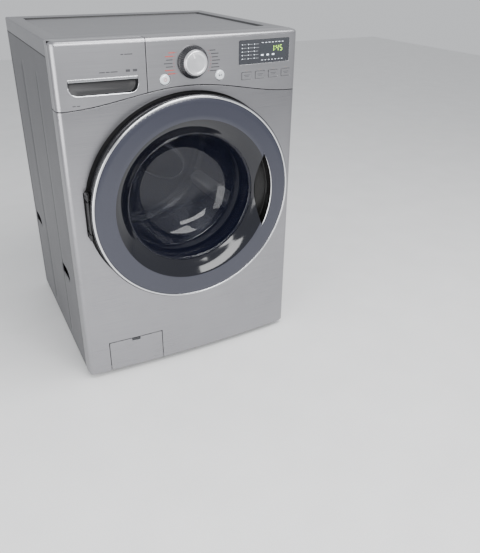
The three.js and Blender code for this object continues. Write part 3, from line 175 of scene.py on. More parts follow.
def soften(points, steps=4):
    """A closed profile whose points may carry a third number, the reach of a rounded corner."""
    out = []
    for i, p in enumerate(points):
        if len(p) < 3:
            out.append(p)
            continue
        corner = Vector(p[:2])
        before = Vector(points[i - 1][:2]) - corner
        after = Vector(points[(i + 1) % len(points)][:2]) - corner
        reach = min(p[2], before.length * 0.49, after.length * 0.49)
        a = corner + before.normalized() * reach
        b = corner + after.normalized() * reach
        for k in range(steps + 1):
            t = k / steps
            out.append(tuple(a * (1 - t) ** 2 + corner * 2 * t * (1 - t) + b * t * t))
    return out


def turned(profile, centre=(0.0, 0.0), sides=128, arc=None, bend=None, axis="Y", steps=4):
    """A profile of (radius, place along the axis), turned round. arc is a part turn in radians.
    bend(angle, radius, place) may change the last two."""
    pts = soften(profile, steps)
    start, end = arc or (0.0, 2 * math.pi)
    count = sides if arc is None else max(2, round(sides * (end - start) / (2 * math.pi)))
    rings = count if arc is None else count + 1
    verts, faces = [], []
    for i in range(rings):
        a = start + (end - start) * i / count
        for r, along in pts:
            if bend:
                r, along = bend(a, r, along)
            u, v = centre[0] + r * math.cos(a), centre[1] + r * math.sin(a)
            verts.append((u, along, v) if axis == "Y" else (u, v, along))
    n = len(pts)
    spans = [(k, (k + 1) % n) for k in range(n)]
    spans = [(k, m) for k, m in spans if max(pts[k][0], pts[m][0]) > 1e-6]
    for i in range(count):
        j = (i + 1) % rings
        faces += [(i * n + k, i * n + m, j * n + m, j * n + k) for k, m in spans]
    if arc is not None:
        faces.append(tuple(range(n)))
        faces.append(tuple((rings - 1) * n + k for k in reversed(range(n))))
    return verts, faces


def inside(points, loop):
    """Which points are inside a loop, by counting crossings."""
    x, y = points[:, 0], points[:, 1]
    hit = np.zeros(len(points), bool)
    ring = np.asarray(loop, float)
    for (x0, y0), (x1, y1) in zip(ring, np.roll(ring, -1, axis=0)):
        if y0 == y1:
            continue
        span = (y0 > y) != (y1 > y)
        hit ^= span & (x < (x1 - x0) * (y - y0) / (y1 - y0) + x0)
    return hit


def within(points, loops):
    """Which points are inside the first loop and in none of the others."""
    keep = inside(points, loops[0])
    for hole in loops[1:]:
        keep &= ~inside(points, hole)
    return keep


def dense(loop, step=12.0):
    """The loop with points added, so that none of its steps is longer than step."""
    out = []
    for (x0, y0), (x1, y1) in zip(loop, loop[1:] + loop[:1]):
        n = max(1, math.ceil(math.hypot(x1 - x0, y1 - y0) / step))
        out += [(x0 + (x1 - x0) * k / n, y0 + (y1 - y0) * k / n) for k in range(n)]
    return out


def edge_gap(points, loops):
    """Distance of each point to the nearest edge of the loops."""
    best = np.full(len(points), 1e9)
    for loop in loops:
        a = np.asarray(loop, float)
        for p, q in zip(a, np.roll(a, -1, axis=0)):
            way = q - p
            t = np.clip(((points - p) @ way) / max(way @ way, 1e-12), 0, 1)
            best = np.minimum(best, np.hypot(*(points - p - t[:, None] * way).T))
    return best


def plate(outline, holes, place, thickness, columns=(), rows=(), step=12.0, extra=(), clear=2.0):
    """A sheet cut to an outline with holes, laid on a surface by place(u, v, depth). Inner points are
    the crossings of columns and rows and the extra ones, where they are clear of an edge."""
    loops = [dense(list(loop), step) for loop in [outline, *holes]]
    edge = np.array([p for loop in loops for p in loop])
    pairs, first = [], 0
    for loop in loops:
        pairs += [(first + k, first + (k + 1) % len(loop)) for k in range(len(loop))]
        first += len(loop)
    grid = np.array([*((u, v) for u in columns for v in rows), *extra], float).reshape(-1, 2)
    if len(grid):
        grid = grid[within(grid, loops)]
        grid = grid[edge_gap(grid, loops) > clear]
    points = [Vector(p) for p in np.vstack([edge, grid])]
    flat, _, tris, *_ = delaunay_2d_cdt(points, pairs, [], 0, 1e-5)
    flat = np.array([tuple(p) for p in flat])
    tris = np.array([t[:3] for t in tris])
    tris = tris[within(flat[tris].mean(axis=1), loops)]
    verts = [place(u, v, 0.0) for u, v in flat] + [place(u, v, thickness) for u, v in flat]
    n = len(flat)
    faces, sides = [], {}
    for a, b, c in tris.tolist():
        faces += [(a, b, c), (a + n, c + n, b + n)]
        sides.update(dict.fromkeys(((a, b), (b, c), (c, a))))
    faces += [(q, p, p + n, q + n) for p, q in sides if (q, p) not in sides]
    return verts, faces


def circle(r, centre=(0.0, 0.0), count=160, start=0.0, end=2 * math.pi, closed=True):
    """Points round a circle, or along an arc with both its ends when it isn't closed."""
    turns = [start + (end - start) * k / count for k in range(count if closed else count + 1)]
    return [(centre[0] + r * math.cos(a), centre[1] + r * math.sin(a)) for a in turns]


def rounded(x0, x1, z0, z1, r, steps=6, low=None):
    """A rectangle with rounded corners; low is the radius of the two lower ones."""
    low = r if low is None else low
    out = []
    for cx, cz, radius, a in (
        (x1 - low, z0 + low, low, -90),
        (x1 - r, z1 - r, r, 0),
        (x0 + r, z1 - r, r, 90),
        (x0 + low, z0 + low, low, 180),
    ):
        for k in range(steps + 1):
            t = math.radians(a + 90 * k / steps)
            out.append((cx + radius * math.cos(t), cz + radius * math.sin(t)))
    return out


def loft(loops, caps=True):
    """Skin through loops with the same number of points each, closed at both ends."""
    n = len(loops[0])
    verts = [p for loop in loops for p in loop]
    faces = []
    for i in range(len(loops) - 1):
        for k in range(n):
            m = (k + 1) % n
            faces.append((i * n + k, i * n + m, (i + 1) * n + m, (i + 1) * n + k))
    if caps:
        faces.append(tuple(reversed(range(n))))
        faces.append(tuple(range((len(loops) - 1) * n, len(loops) * n)))
    return verts, faces


def hoop(loops, flat=None):
    """Skin through loops, from the last back to the first. Where flat is given, that loop and the
    next are filled inside, in place of the band between them."""
    verts, faces = loft([*loops, loops[0]], caps=False)
    n, count = len(loops[0]), len(loops) * len(loops[0])
    faces = [tuple(v % count for v in face) for face in faces]
    if flat is not None:
        del faces[flat * n : (flat + 1) * n]
        faces.append(tuple(range(flat * n, (flat + 1) * n)))
        faces.append(tuple(reversed(range((flat + 1) * n, (flat + 2) * n))))
    return verts[:count], faces


def block(x0, x1, y0, y1, z0, z1):
    """A plain box."""
    return loft([[(x0, y0, z), (x1, y0, z), (x1, y1, z), (x0, y1, z)] for z in (z0, z1)])


def tube(path, radius, sides=10):
    """A round bar along a path, closed at both ends. radius(t) is its radius, with t from 0 to 1."""
    pts = [Vector(p) for p in path]
    loops = []
    side = None
    for i, p in enumerate(pts):
        way = (pts[min(i + 1, len(pts) - 1)] - pts[max(i - 1, 0)]).normalized()
        if side is None:
            side = way.orthogonal().normalized()
        side = (side - way * side.dot(way)).normalized()
        other = way.cross(side)
        turns = (2 * math.pi * k / sides for k in range(sides))
        r = radius(i / (len(pts) - 1))
        loops.append([tuple(p + (side * math.cos(t) + other * math.sin(t)) * r) for t in turns])
    return loft(loops)


def merged(*parts):
    """Several shapes as one."""
    verts, faces = [], []
    for v, f in parts:
        base = len(verts)
        verts += v
        faces += [tuple(i + base for i in face) for face in f]
    return verts, faces


def tidy_mesh(mesh, merge=True):
    """Faces turned outward, and points that lie on one another merged."""
    bm = bmesh.new()
    bm.from_mesh(mesh)
    if merge:
        bmesh.ops.remove_doubles(bm, verts=bm.verts, dist=2e-6)
        bmesh.ops.dissolve_degenerate(bm, edges=bm.edges, dist=1e-7)
    bmesh.ops.recalc_face_normals(bm, faces=bm.faces)
    bm.to_mesh(mesh)
    bm.free()


def mesh_object(name, shape, look, angle=32):
    """An object from points in millimetres, smooth but for edges sharper than angle."""
    verts, faces = shape
    mesh = bpy.data.meshes.new(name)
    mesh.from_pydata([[c * 0.001 for c in v] for v in verts], [], faces)
    tidy_mesh(mesh)
    mesh.shade_smooth()
    mesh.set_sharp_from_angle(angle=math.radians(angle))
    mesh.materials.append(finish(look))
    obj = bpy.data.objects.new(name, mesh)
    bpy.context.scene.collection.objects.link(obj)
    return obj


def belongs(obj, body, stands_for):
    """The body that a piece moves with and the frame nodes it stands for."""
    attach(obj, body)
    if stands_for:
        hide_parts(*stands_for)


def piece(name, shape, slot, body, stands_for=(), bevel=0.0, look=None, angle=32):
    """One visible piece, riding on a body and finished as its slot or its own look says."""
    obj = mesh_object(name, shape, look or slot, angle)
    if bevel:
        soft = obj.modifiers.new("Soft edges", "BEVEL")
        soft.width = bevel * 0.001
        soft.segments = 2
        soft.limit_method = "ANGLE"
        soft.angle_limit = math.radians(40)
        soft.harden_normals = True
    belongs(obj, body, stands_for)


def bending(name, shape, slot, node, start, end, angle):
    """A soft piece in a node's place, between the cabinet and the tub. start and end are not used."""
    obj = mesh_object(name, shape, slot, angle)
    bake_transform(obj)
    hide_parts(node)


# ---------------------------------------------------------------- finishes

# colour, roughness, metal, grain along x y z, tone spread, roughness spread, bump depth, extras
FINISHES = {
    "front_steel": ((0.315, 0.313, 0.328), 0.30, 0.95, (6, 6, 1100), 0.11, 0.10, 0.00003, {}),
    "fascia_silver": ((0.345, 0.343, 0.358), 0.33, 0.9, (6, 6, 900), 0.08, 0.08, 0.00003, {}),
    "casing_grey": ((0.072, 0.072, 0.078), 0.42, 0.35, (380, 380, 380), 0.05, 0.10, 0.00004, {}),
    "top_grey": ((0.165, 0.165, 0.175), 0.38, 0.45, (380, 380, 380), 0.05, 0.10, 0.00004, {}),
    "zinc_sheet": ((0.42, 0.43, 0.44), 0.45, 0.85, (60, 60, 60), 0.16, 0.16, 0.00002, {}),
    "foot_rubber": ((0.022, 0.022, 0.023), 0.75, 0.0, (260, 260, 260), 0.25, 0.12, 0.00008, {}),
    "display_black": ((0.028, 0.030, 0.036), 0.10, 0.0, (90, 90, 90), 0.10, 0.05, 0.000004, {"coat": 1}),
    "board_green": ((0.03, 0.12, 0.05), 0.55, 0.0, (300, 300, 300), 0.2, 0.1, 0.00004, {}),
    "white_plastic": ((0.78, 0.78, 0.76), 0.42, 0.0, (220, 220, 220), 0.04, 0.10, 0.00003, {}),
    "dark_plastic": ((0.030, 0.031, 0.034), 0.48, 0.0, (420, 420, 420), 0.15, 0.12, 0.00005, {}),
    "gasket_rubber": ((0.085, 0.088, 0.094), 0.62, 0.0, (300, 300, 300), 0.12, 0.12, 0.00006, {}),
    "hose_plastic": ((0.30, 0.31, 0.32), 0.55, 0.0, (200, 200, 200), 0.08, 0.10, 0.00004, {}),
    "spring_steel": ((0.36, 0.37, 0.38), 0.32, 1.0, (500, 500, 500), 0.12, 0.12, 0.00002, {}),
    "tub_plastic": ((0.40, 0.41, 0.42), 0.50, 0.0, (180, 180, 180), 0.06, 0.10, 0.00005, {}),
    "concrete": ((0.32, 0.31, 0.29), 0.92, 0.0, (140, 140, 140), 0.30, 0.06, 0.0004, {}),
    "motor_iron": ((0.06, 0.062, 0.066), 0.5, 0.7, (300, 300, 300), 0.2, 0.15, 0.00004, {}),
    "drum_steel": ((0.52, 0.53, 0.55), 0.20, 1.0, (90, 90, 90), 0.04, 0.04, 0.0000008, {}),
    "spider_alloy": ((0.48, 0.49, 0.50), 0.46, 0.9, (200, 200, 200), 0.12, 0.14, 0.00008, {}),
    "lifter_plastic": ((0.66, 0.67, 0.68), 0.40, 0.0, (260, 260, 260), 0.05, 0.10, 0.00003, {}),
    "ring_tint": ((0.030, 0.032, 0.047), 0.24, 0.15, (600, 600, 600), 0.08, 0.06, 0.00001, {"coat": 0.3}),
    "trim_chrome": ((0.72, 0.73, 0.75), 0.14, 1.0, (30, 30, 30), 0.04, 0.06, 0.000004, {}),
    "bowl_glass": ((0.004, 0.005, 0.013), 0.03, 0.0, (24, 24, 24), 0.04, 0.01, 0.0000005, {"alpha": 0.66}),
    "hinge_iron": ((0.045, 0.045, 0.048), 0.5, 0.6, (200, 200, 200), 0.15, 0.15, 0.00005, {}),
    "knob_silver": ((0.80, 0.80, 0.82), 0.30, 0.85, (40, 900, 40), 0.06, 0.10, 0.00001, {}),
    "button_pearl": ((0.70, 0.74, 0.77), 0.24, 0.2, (300, 300, 300), 0.04, 0.06, 0.00001, {"coat": 0.5}),
}
# colour, roughness and extras of small or dark places, all with the same fine grain
TONES = {
    # painted shade: near-black for steel in the door's recess, behind the service cover's gap and in the
    # top's seam
    "recess_black": ((0.012, 0.012, 0.013), 0.45, {}),
    # painted shade, in the sides' grooves, long holes and seams
    "seam_black": ((0.008, 0.008, 0.009), 0.6, {}),
    # painted shade, for the hinge beside the door
    "hinge_black": ((0.010, 0.010, 0.011), 0.42, {}),
    "edge_gloss": ((0.010, 0.010, 0.012), 0.20, {}),
    "dish_gloss": ((0.004, 0.0045, 0.008), 0.09, {"specular": 0.50, "coat": 0.12}),
    "grip_black": ((0.006, 0.006, 0.006), 0.22, {"specular": 0.35}),
    "pocket_gloss": ((0.016, 0.016, 0.018), 0.42, {"specular": 0.4}),
    "panel_ink": ((0.045, 0.045, 0.05), 0.5, {}),
    "panel_red": ((0.42, 0.05, 0.04), 0.5, {}),
    "display_lcd": ((0.030, 0.034, 0.040), 0.22, {"coat": 0.6}),
    "display_green": ((0.25, 0.5, 0.05), 0.4, {"glow": (0.55, 0.95, 0.10), "strength": 1.6}),
    "display_white": ((0.7, 0.75, 0.8), 0.4, {"glow": (0.75, 0.85, 1.0), "strength": 1.0}),
    "display_faint": ((0.22, 0.23, 0.25), 0.4, {}),
    "lamp_off": ((0.24, 0.20, 0.18), 0.35, {}),
    "dial_graphite": ((0.012, 0.012, 0.015), 0.22, {"metal": 0.2, "coat": 0.5}),
    "dial_white": ((0.85, 0.85, 0.85), 0.35, {}),
    # painted shade: the drum's steel back, darker than the rest of the drum's steel
    "drum_back": ((0.20, 0.205, 0.22), 0.30, {"metal": 1.0}),
    "collar_cold": ((0.03, 0.10, 0.45), 0.5, {}),
    "collar_hot": ((0.50, 0.03, 0.03), 0.5, {}),
    "floor_pale": ((0.80, 0.80, 0.80), 0.55, {}),
}
LOOKS = {}


def feed(tree, node, inputs):
    """Sets a node's inputs to values, or links them from other nodes' sockets."""
    for name, value in inputs.items():
        if isinstance(value, bpy.types.NodeSocket):
            tree.links.new(value, node.inputs[name])
        else:
            node.inputs[name].default_value = value


def add(tree, kind, inputs=(), **settings):
    """A new node with its settings and inputs."""
    node = tree.nodes.new(kind)
    for name, value in settings.items():
        setattr(node, name, value)
    feed(tree, node, dict(inputs))
    return node


def build_finish(name, colour, rough, metal, grain, tone, rough_spread, bump, extras):
    """Colour, roughness and relief that vary with the place on the object, as the real surface does."""
    mat = bpy.data.materials.new(name)
    mat.use_nodes = True
    mat.diffuse_color = (*colour, 1)
    tree = mat.node_tree
    place = add(tree, "ShaderNodeTexCoord").outputs["Object"]
    stretch = add(tree, "ShaderNodeMapping", {"Vector": place, "Scale": grain}).outputs["Vector"]
    noise = {"Vector": stretch, "Scale": 1.0, "Detail": 4.0, "Roughness": 0.6}
    fine = add(tree, "ShaderNodeTexNoise", noise).outputs["Fac"]
    noise = {"Vector": place, "Scale": 7.0, "Detail": 3.0}
    broad = add(tree, "ShaderNodeTexNoise", noise).outputs["Fac"]
    mixed = add(tree, "ShaderNodeMix", {"Factor": 0.35, "A": fine, "B": broad}).outputs["Result"]
    ramp = add(tree, "ShaderNodeValToRGB", {"Fac": mixed})
    low, high = ramp.color_ramp.elements
    low.position, high.position = 0.3, 0.7
    low.color = (*[c * (1 - tone) for c in colour], 1)
    high.color = (*[min(1.0, c * (1 + tone)) for c in colour], 1)
    spread = {
        "Value": mixed,
        "From Min": 0.3,
        "From Max": 0.7,
        "To Min": max(0.02, rough - rough_spread / 2),
        "To Max": min(1.0, rough + rough_spread / 2),
    }
    relief = add(tree, "ShaderNodeBump", {"Strength": 0.6, "Distance": bump, "Height": fine})
    values = {
        "Base Color": ramp.outputs["Color"],
        "Roughness": add(tree, "ShaderNodeMapRange", spread).outputs["Result"],
        "Normal": relief.outputs["Normal"],
        "Metallic": metal,
        "Coat Weight": extras.get("coat", 0.0),
        "Coat Roughness": 0.06,
        "Alpha": extras.get("alpha", 1.0),
        "Specular IOR Level": extras.get("specular", 0.5),
    }
    if "glow" in extras:
        values["Emission Color"] = (*extras["glow"], 1)
        values["Emission Strength"] = extras["strength"]
    feed(tree, tree.nodes["Principled BSDF"], values)
    return mat


def finish(name):
    """The look of that name, in the colour set in the panel where it has one there."""
    if name not in LOOKS:
        if name in TONES:
            colour, rough, extras = TONES[name]
            rest = rough, extras.get("metal", 0.0), (300, 300, 300), 0.06, 0.08, 0.00001, extras
        else:
            colour, *rest = FINISHES[name]
        colour = getattr(bpy.context.scene.washer_colours, name, colour)
        LOOKS[name] = build_finish(name, tuple(colour), *rest)
    return LOOKS[name]


# ---------------------------------------------------------------- geometry node trees


def new_tree(name, inputs):
    """A node tree with the names of its inputs, its input node's sockets and its output node."""
    tree = bpy.data.node_groups.new(name, "GeometryNodeTree")
    names = {}
    for label, kind, value in [("Geometry", "Geometry", None), *inputs]:
        made = tree.interface.new_socket(label, in_out="INPUT", socket_type=f"NodeSocket{kind}")
        if value is not None:
            made.default_value = value
        names[label] = made.identifier
    tree.interface.new_socket("Geometry", in_out="OUTPUT", socket_type="NodeSocketGeometry")
    source = tree.nodes.new("NodeGroupInput").outputs
    return tree, names, source, tree.nodes.new("NodeGroupOutput")


def shading_tree():
    """Merges split corners and shades everything smooth but its sharp edges."""
    inputs = [("Sharp Angle", "Float", math.radians(35))]
    tree, names, source, out = new_tree("Soft shading", inputs)
    joined = {"Geometry": source["Geometry"], "Distance": 2e-6}
    merge = add(tree, "GeometryNodeMergeByDistance", joined)
    all_faces = {"Geometry": merge.outputs["Geometry"]}
    smooth = add(tree, "GeometryNodeSetShadeSmooth", all_faces, domain="FACE")
    angle = add(tree, "GeometryNodeInputMeshEdgeAngle").outputs["Unsigned Angle"]
    limits = {"A": angle, "B": source["Sharp Angle"]}
    over = add(tree, "FunctionNodeCompare", limits, operation="GREATER_THAN")
    edges = {
        "Geometry": smooth.outputs["Geometry"],
        "Selection": over.outputs["Result"],
        "Shade Smooth": False,
    }
    sharp = add(tree, "GeometryNodeSetShadeSmooth", edges, domain="EDGE")
    feed(tree, out, {"Geometry": sharp.outputs["Geometry"]})
    return tree, names


def scatter_tree():
    """Puts one head on every point, each turned by chance about Y."""
    inputs = [("Head", "Object", None), ("Size", "Float", 1.0), ("Seed", "Int", 3)]
    tree, names, source, out = new_tree("Screws", [*inputs, ("Finish", "Material", None)])
    head = add(tree, "GeometryNodeObjectInfo", {"Object": source["Head"]})
    chance = {"Max": math.pi, "Seed": source["Seed"]}
    turn = add(tree, "FunctionNodeRandomValue", chance, data_type="FLOAT")
    spin = add(tree, "ShaderNodeCombineXYZ", {"Y": turn.outputs["Value"]})
    seats = {
        "Points": source["Geometry"],
        "Instance": head.outputs["Geometry"],
        "Rotation": spin.outputs["Vector"],
        "Scale": source["Size"],
    }
    put = add(tree, "GeometryNodeInstanceOnPoints", seats).outputs["Instances"]
    real = add(tree, "GeometryNodeRealizeInstances", {"Geometry": put}).outputs["Geometry"]
    paint = add(tree, "GeometryNodeSetMaterial", {"Geometry": real, "Material": source["Finish"]})
    feed(tree, out, {"Geometry": paint.outputs["Geometry"]})
    return tree, names


def rolled_tree():
    """Repeats one perforated tile over a flat field and rolls the field into a drum shell."""
    inputs = [("Tile", "Object", None), ("Round", "Int", 96), ("Along", "Int", 24)]
    inputs += [("Radius", "Float", 0.28), ("Length", "Float", 0.4), ("Sheet", "Float", 0.0008)]
    tree, names, source, out = new_tree("Perforated shell", [*inputs, ("Finish", "Material", None)])
    around_it, along_it = source["Round"], source["Along"]

    def maths(kind, *values):
        return add(tree, "ShaderNodeMath", dict(enumerate(values)), operation=kind).outputs[0]

    def vector(**parts):
        return add(tree, "ShaderNodeCombineXYZ", parts).outputs[0]

    def welded(geometry):
        tight = {"Geometry": geometry, "Distance": 1e-5}
        return add(tree, "GeometryNodeMergeByDistance", tight).outputs["Geometry"]

    number = add(tree, "GeometryNodeInputIndex").outputs[0]
    column = maths("MODULO", number, around_it)
    row = maths("FLOOR", maths("DIVIDE", number, around_it))
    seat = vector(X=maths("ADD", column, 0.5), Y=maths("ADD", row, 0.5))
    field = {"Count": maths("MULTIPLY", around_it, along_it), "Position": seat}
    points = add(tree, "GeometryNodePoints", field).outputs["Points"]
    tile = add(tree, "GeometryNodeObjectInfo", {"Object": source["Tile"]}).outputs["Geometry"]
    put = add(tree, "GeometryNodeInstanceOnPoints", {"Points": points, "Instance": tile})
    real = add(tree, "GeometryNodeRealizeInstances", {"Geometry": put.outputs["Instances"]})
    position = add(tree, "GeometryNodeInputPosition").outputs[0]
    spot = add(tree, "ShaderNodeSeparateXYZ", {0: position}).outputs
    turn = maths("MULTIPLY", maths("DIVIDE", spot["X"], around_it), 2 * math.pi)
    rolled = vector(
        X=maths("MULTIPLY", maths("COSINE", turn), source["Radius"]),
        Y=maths("MULTIPLY", maths("DIVIDE", spot["Y"], along_it), source["Length"]),
        Z=maths("MULTIPLY", maths("SINE", turn), source["Radius"]),
    )
    bent = {"Geometry": real.outputs["Geometry"], "Position": rolled}
    inner = welded(add(tree, "GeometryNodeSetPosition", bent).outputs["Geometry"])
    sheet = {"Mesh": inner, "Offset Scale": source["Sheet"], "Individual": False}
    outer = add(tree, "GeometryNodeExtrudeMesh", sheet).outputs["Mesh"]
    flipped = add(tree, "GeometryNodeFlipFaces", {"Mesh": inner}).outputs["Mesh"]
    both = add(tree, "GeometryNodeJoinGeometry", {"Geometry": outer})
    feed(tree, both, {"Geometry": flipped})
    closed = {"Geometry": welded(both.outputs["Geometry"]), "Material": source["Finish"]}
    paint = add(tree, "GeometryNodeSetMaterial", closed)
    feed(tree, out, {"Geometry": paint.outputs["Geometry"]})
    return tree, names


def baked(name, start, helper, made, values, slot, body, stands_for=()):
    """The plain mesh that a node tree makes from a starting mesh and a helper object."""
    tree, names = made
    modifier = start.modifiers.new("Nodes", "NODES")
    modifier.node_group = tree
    for label, value in {**values, "Finish": finish(slot)}.items():
        modifier[names[label]] = value
    bpy.context.view_layer.update()
    shown = start.evaluated_get(bpy.context.evaluated_depsgraph_get())
    mesh = bpy.data.meshes.new_from_object(shown)
    mesh.name = name
    start.modifiers.clear()
    obj = bpy.data.objects.new(name, mesh)
    bpy.context.scene.collection.objects.link(obj)
    mesh.shade_smooth()
    mesh.set_sharp_from_angle(angle=math.radians(32))
    bpy.data.objects.remove(start)
    bpy.data.objects.remove(helper)
    belongs(obj, body, stands_for)
    return obj


def screw_head():
    """A pan head with a hexagon rim and a crossed slot, facing -Y, at the origin."""
    rim = [(0, -2.2), (2.4, -2.1, 0.6), (3.6, -0.9, 0.6), (3.9, 0, 0), (0, 0)]
    slots = [block(-1.9, 1.9, -2.35, -2.0, -0.3, 0.3), block(-0.3, 0.3, -2.36, -2.0, -1.9, 1.9)]
    return merged(turned(rim, sides=18), *slots)


def screws(name, places, slot, body, size=1.0):
    """Screw heads that face backwards, one at each place."""
    head = mesh_object("head", screw_head(), slot)
    head.data.transform(Matrix.Rotation(math.pi, 4, "Z"))
    start = mesh_object("places", (places, []), slot)
    values = {"Head": head, "Size": size, "Seed": 3}
    # The hinge's bracket and arm are zinc painted near-black: painted shade beside the door.
    baked(name, start, head, scatter_tree(), values, slot, body)


# ---------------------------------------------------------------- front and cabinet


def sorted_unique(*groups):
    """All values in order, without those within 0.4 mm of the one before."""
    values = sorted(round(float(v), 4) for g in groups for v in g)
    out = [values[0]]
    for v in values:
        if v - out[-1] > 0.4:
            out.append(v)
    return out


def front_columns(s0, s1):
    """Ways along the front between two ends, closer together round its edges."""
    turn = [FLAT + ARC * k / 6 for k in range(7)]
    spread = sorted_unique(np.linspace(-FLAT, FLAT, 52), turn, [-t for t in turn])
    return [s for s in spread if s0 + 0.5 < s < s1 - 0.5]


def seam_points(s0, s1, lift, count=90):
    """Points along the curved seam between control panel and front."""
    values = sorted_unique(np.linspace(s0, s1, count), front_columns(s0, s1))
    values[0], values[-1] = s0, s1
    return [(s, seam_z(around(s)[0]) + lift) for s in values]


def front_skin():
    """The bowed steel sheet, cut out for the door and the service cover."""
    reach = girth(RETURN_D)
    (x0, _, _), (x1, _, z1) = corners("service_cover")
    x0, x1, z1 = x0 - SEAM / 2, x1 + SEAM / 2, z1 + SEAM / 2
    outline = [(-reach, LOW), (x0, LOW), (x0, z1), (x1, z1), (x1, LOW), (reach, LOW)]
    outline += reversed(seam_points(-reach, reach, -SEAM / 2))
    rows = np.linspace(LOW, TOP - FASCIA_MID_H, 34)
    columns = front_columns(-reach, reach)
    shape = plate(outline, [recess_outline()], on_front, SHEET, columns, rows, step=16)
    piece("front_skin", shape, "front_steel", "cabinet", ["front_panel"], bevel=0.6)


def recess_outline(grow=0.0):
    """The front's round opening, with a notch at the left for the hinge's ears."""
    (x0, _, z0), (_, _, z1) = corners("door_hinge_bracket")
    x0, z0, z1 = x0 - 0.8 - grow, z0 - 0.8 - grow, z1 + 0.8 + grow
    loop = []
    for x, z in circle(SKIN_R + grow, (0, DOOR_Z), 240):
        if x < 0 and z0 < z < z1:
            x = min(x, x0)
        loop.append((x, z))
    return loop


def recess_wall(outer, inner, front, back):
    """A closed band between two outlines, from front(x) to back."""
    ahead = [[(x, front(x), z) for x, z in loop] for loop in (inner, outer)]
    behind = [[(x, back, z) for x, z in loop] for loop in (outer, inner)]
    return hoop(ahead + behind)


def door_recess():
    """The recess that the closed door sits in, with the lock's slot and the mouth's lip. Its steel wall,
    floor and lip are painted black as painted shade round the door.
    """

    def lip_y(x):
        return bow_y(x) + SHEET + 0.05

    wall = recess_wall(recess_outline(0.6), recess_outline(-0.5), lip_y, FLOOR_Y)
    # Wall, floor and lip are steel painted black: painted shade in the door's recess.
    piece("recess_wall", wall, "front_steel", "cabinet", look="recess_black")
    holes = [circle(MOUTH_R + 6, (0, DOOR_Z)), rounded(237, 264, DOOR_Z - 9, DOOR_Z + 9, 3)]
    floor = plate(recess_outline(0.6), holes, lambda x, z, depth: (x, FLOOR_Y + depth, z), SHEET)
    piece("recess_floor", floor, "front_steel", "cabinet", bevel=0.4, look="recess_black")
    lip = [
        (MOUTH_R + 6.2, FLOOR_Y),
        (MOUTH_R, FLOOR_Y, 4),
        (MOUTH_R, FLOOR_Y + 12, 0.5),
        (MOUTH_R + SHEET, FLOOR_Y + 12, 0.5),
        (MOUTH_R + SHEET, FLOOR_Y + SHEET, 3),
        (MOUTH_R + 6.2, FLOOR_Y + SHEET),
    ]
    shape = turned(lip, (0, DOOR_Z), 160)
    piece("mouth_lip", shape, "front_steel", "cabinet", look="recess_black")


def service_door():
    """The service cover at the front's foot, with a black sheet behind it as painted shade in its gap, and
    its latch.
    """
    (x0, _, z0), (x1, _, z1) = corners("service_cover")
    mid = (x0 + x1) / 2
    foot = LOW + 16
    frame_line = [(x0 - 7, foot), (x0 + 5, foot), (x0 + 5, z1 - 12), (x1 - 5, z1 - 12)]
    frame_line += [(x1 - 5, foot), (x1 + 7, foot), (x1 + 7, z1 + 7), (x0 - 7, z1 + 7)]
    # A black sheet behind the cover's gap: painted shade.
    shadow = plate(frame_line, [], under_front(3.4), 1.0)
    piece("service_frame", shadow, "dark_plastic", "cabinet", look="recess_black")
    x0, x1, z1 = x0 + 1.1, x1 - 1.1, z1 - 1.2
    outline = [(x0, z0), (x1, z0), (x1, z1 - 3), (x1 - 3, z1)]
    outline += [(mid + 13, z1), (mid + 13, z1 - 9), (mid - 13, z1 - 9), (mid - 13, z1)]
    outline += [(x0 + 3, z1), (x0, z1 - 3)]
    shape = plate(outline, [], on_front, 2.5, np.linspace(x0, x1, 14), np.linspace(z0, z1, 9))
    piece("service_door", shape, "front_steel", "service_flap", ["service_cover"], bevel=0.35)
    tab = rounded(mid - 12, mid + 12, z1 - 8.4, z1 - 0.6, 1.5)
    piece("service_latch", plate(tab, [], under_front(1.3), 1.6), "dark_plastic", "service_flap")


def slot_outline(slot, grow=0.0):
    """A side's long hole, or a line that far outside it."""
    y, z = FRONT + slot[0], LOW + slot[1]
    long, tall = SLOT_HALF + grow, SLOT_RISE + grow
    return rounded(y - long, y + long, z - tall, z + tall, tall - 0.1, 10)


def side_block(side, near, far, y0, y1, z0, z1):
    """A block between two depths inside a side's outer face."""
    return block(*sorted((side * (HALF_W - near), side * (HALF_W - far))), y0, y1, z0, z1)


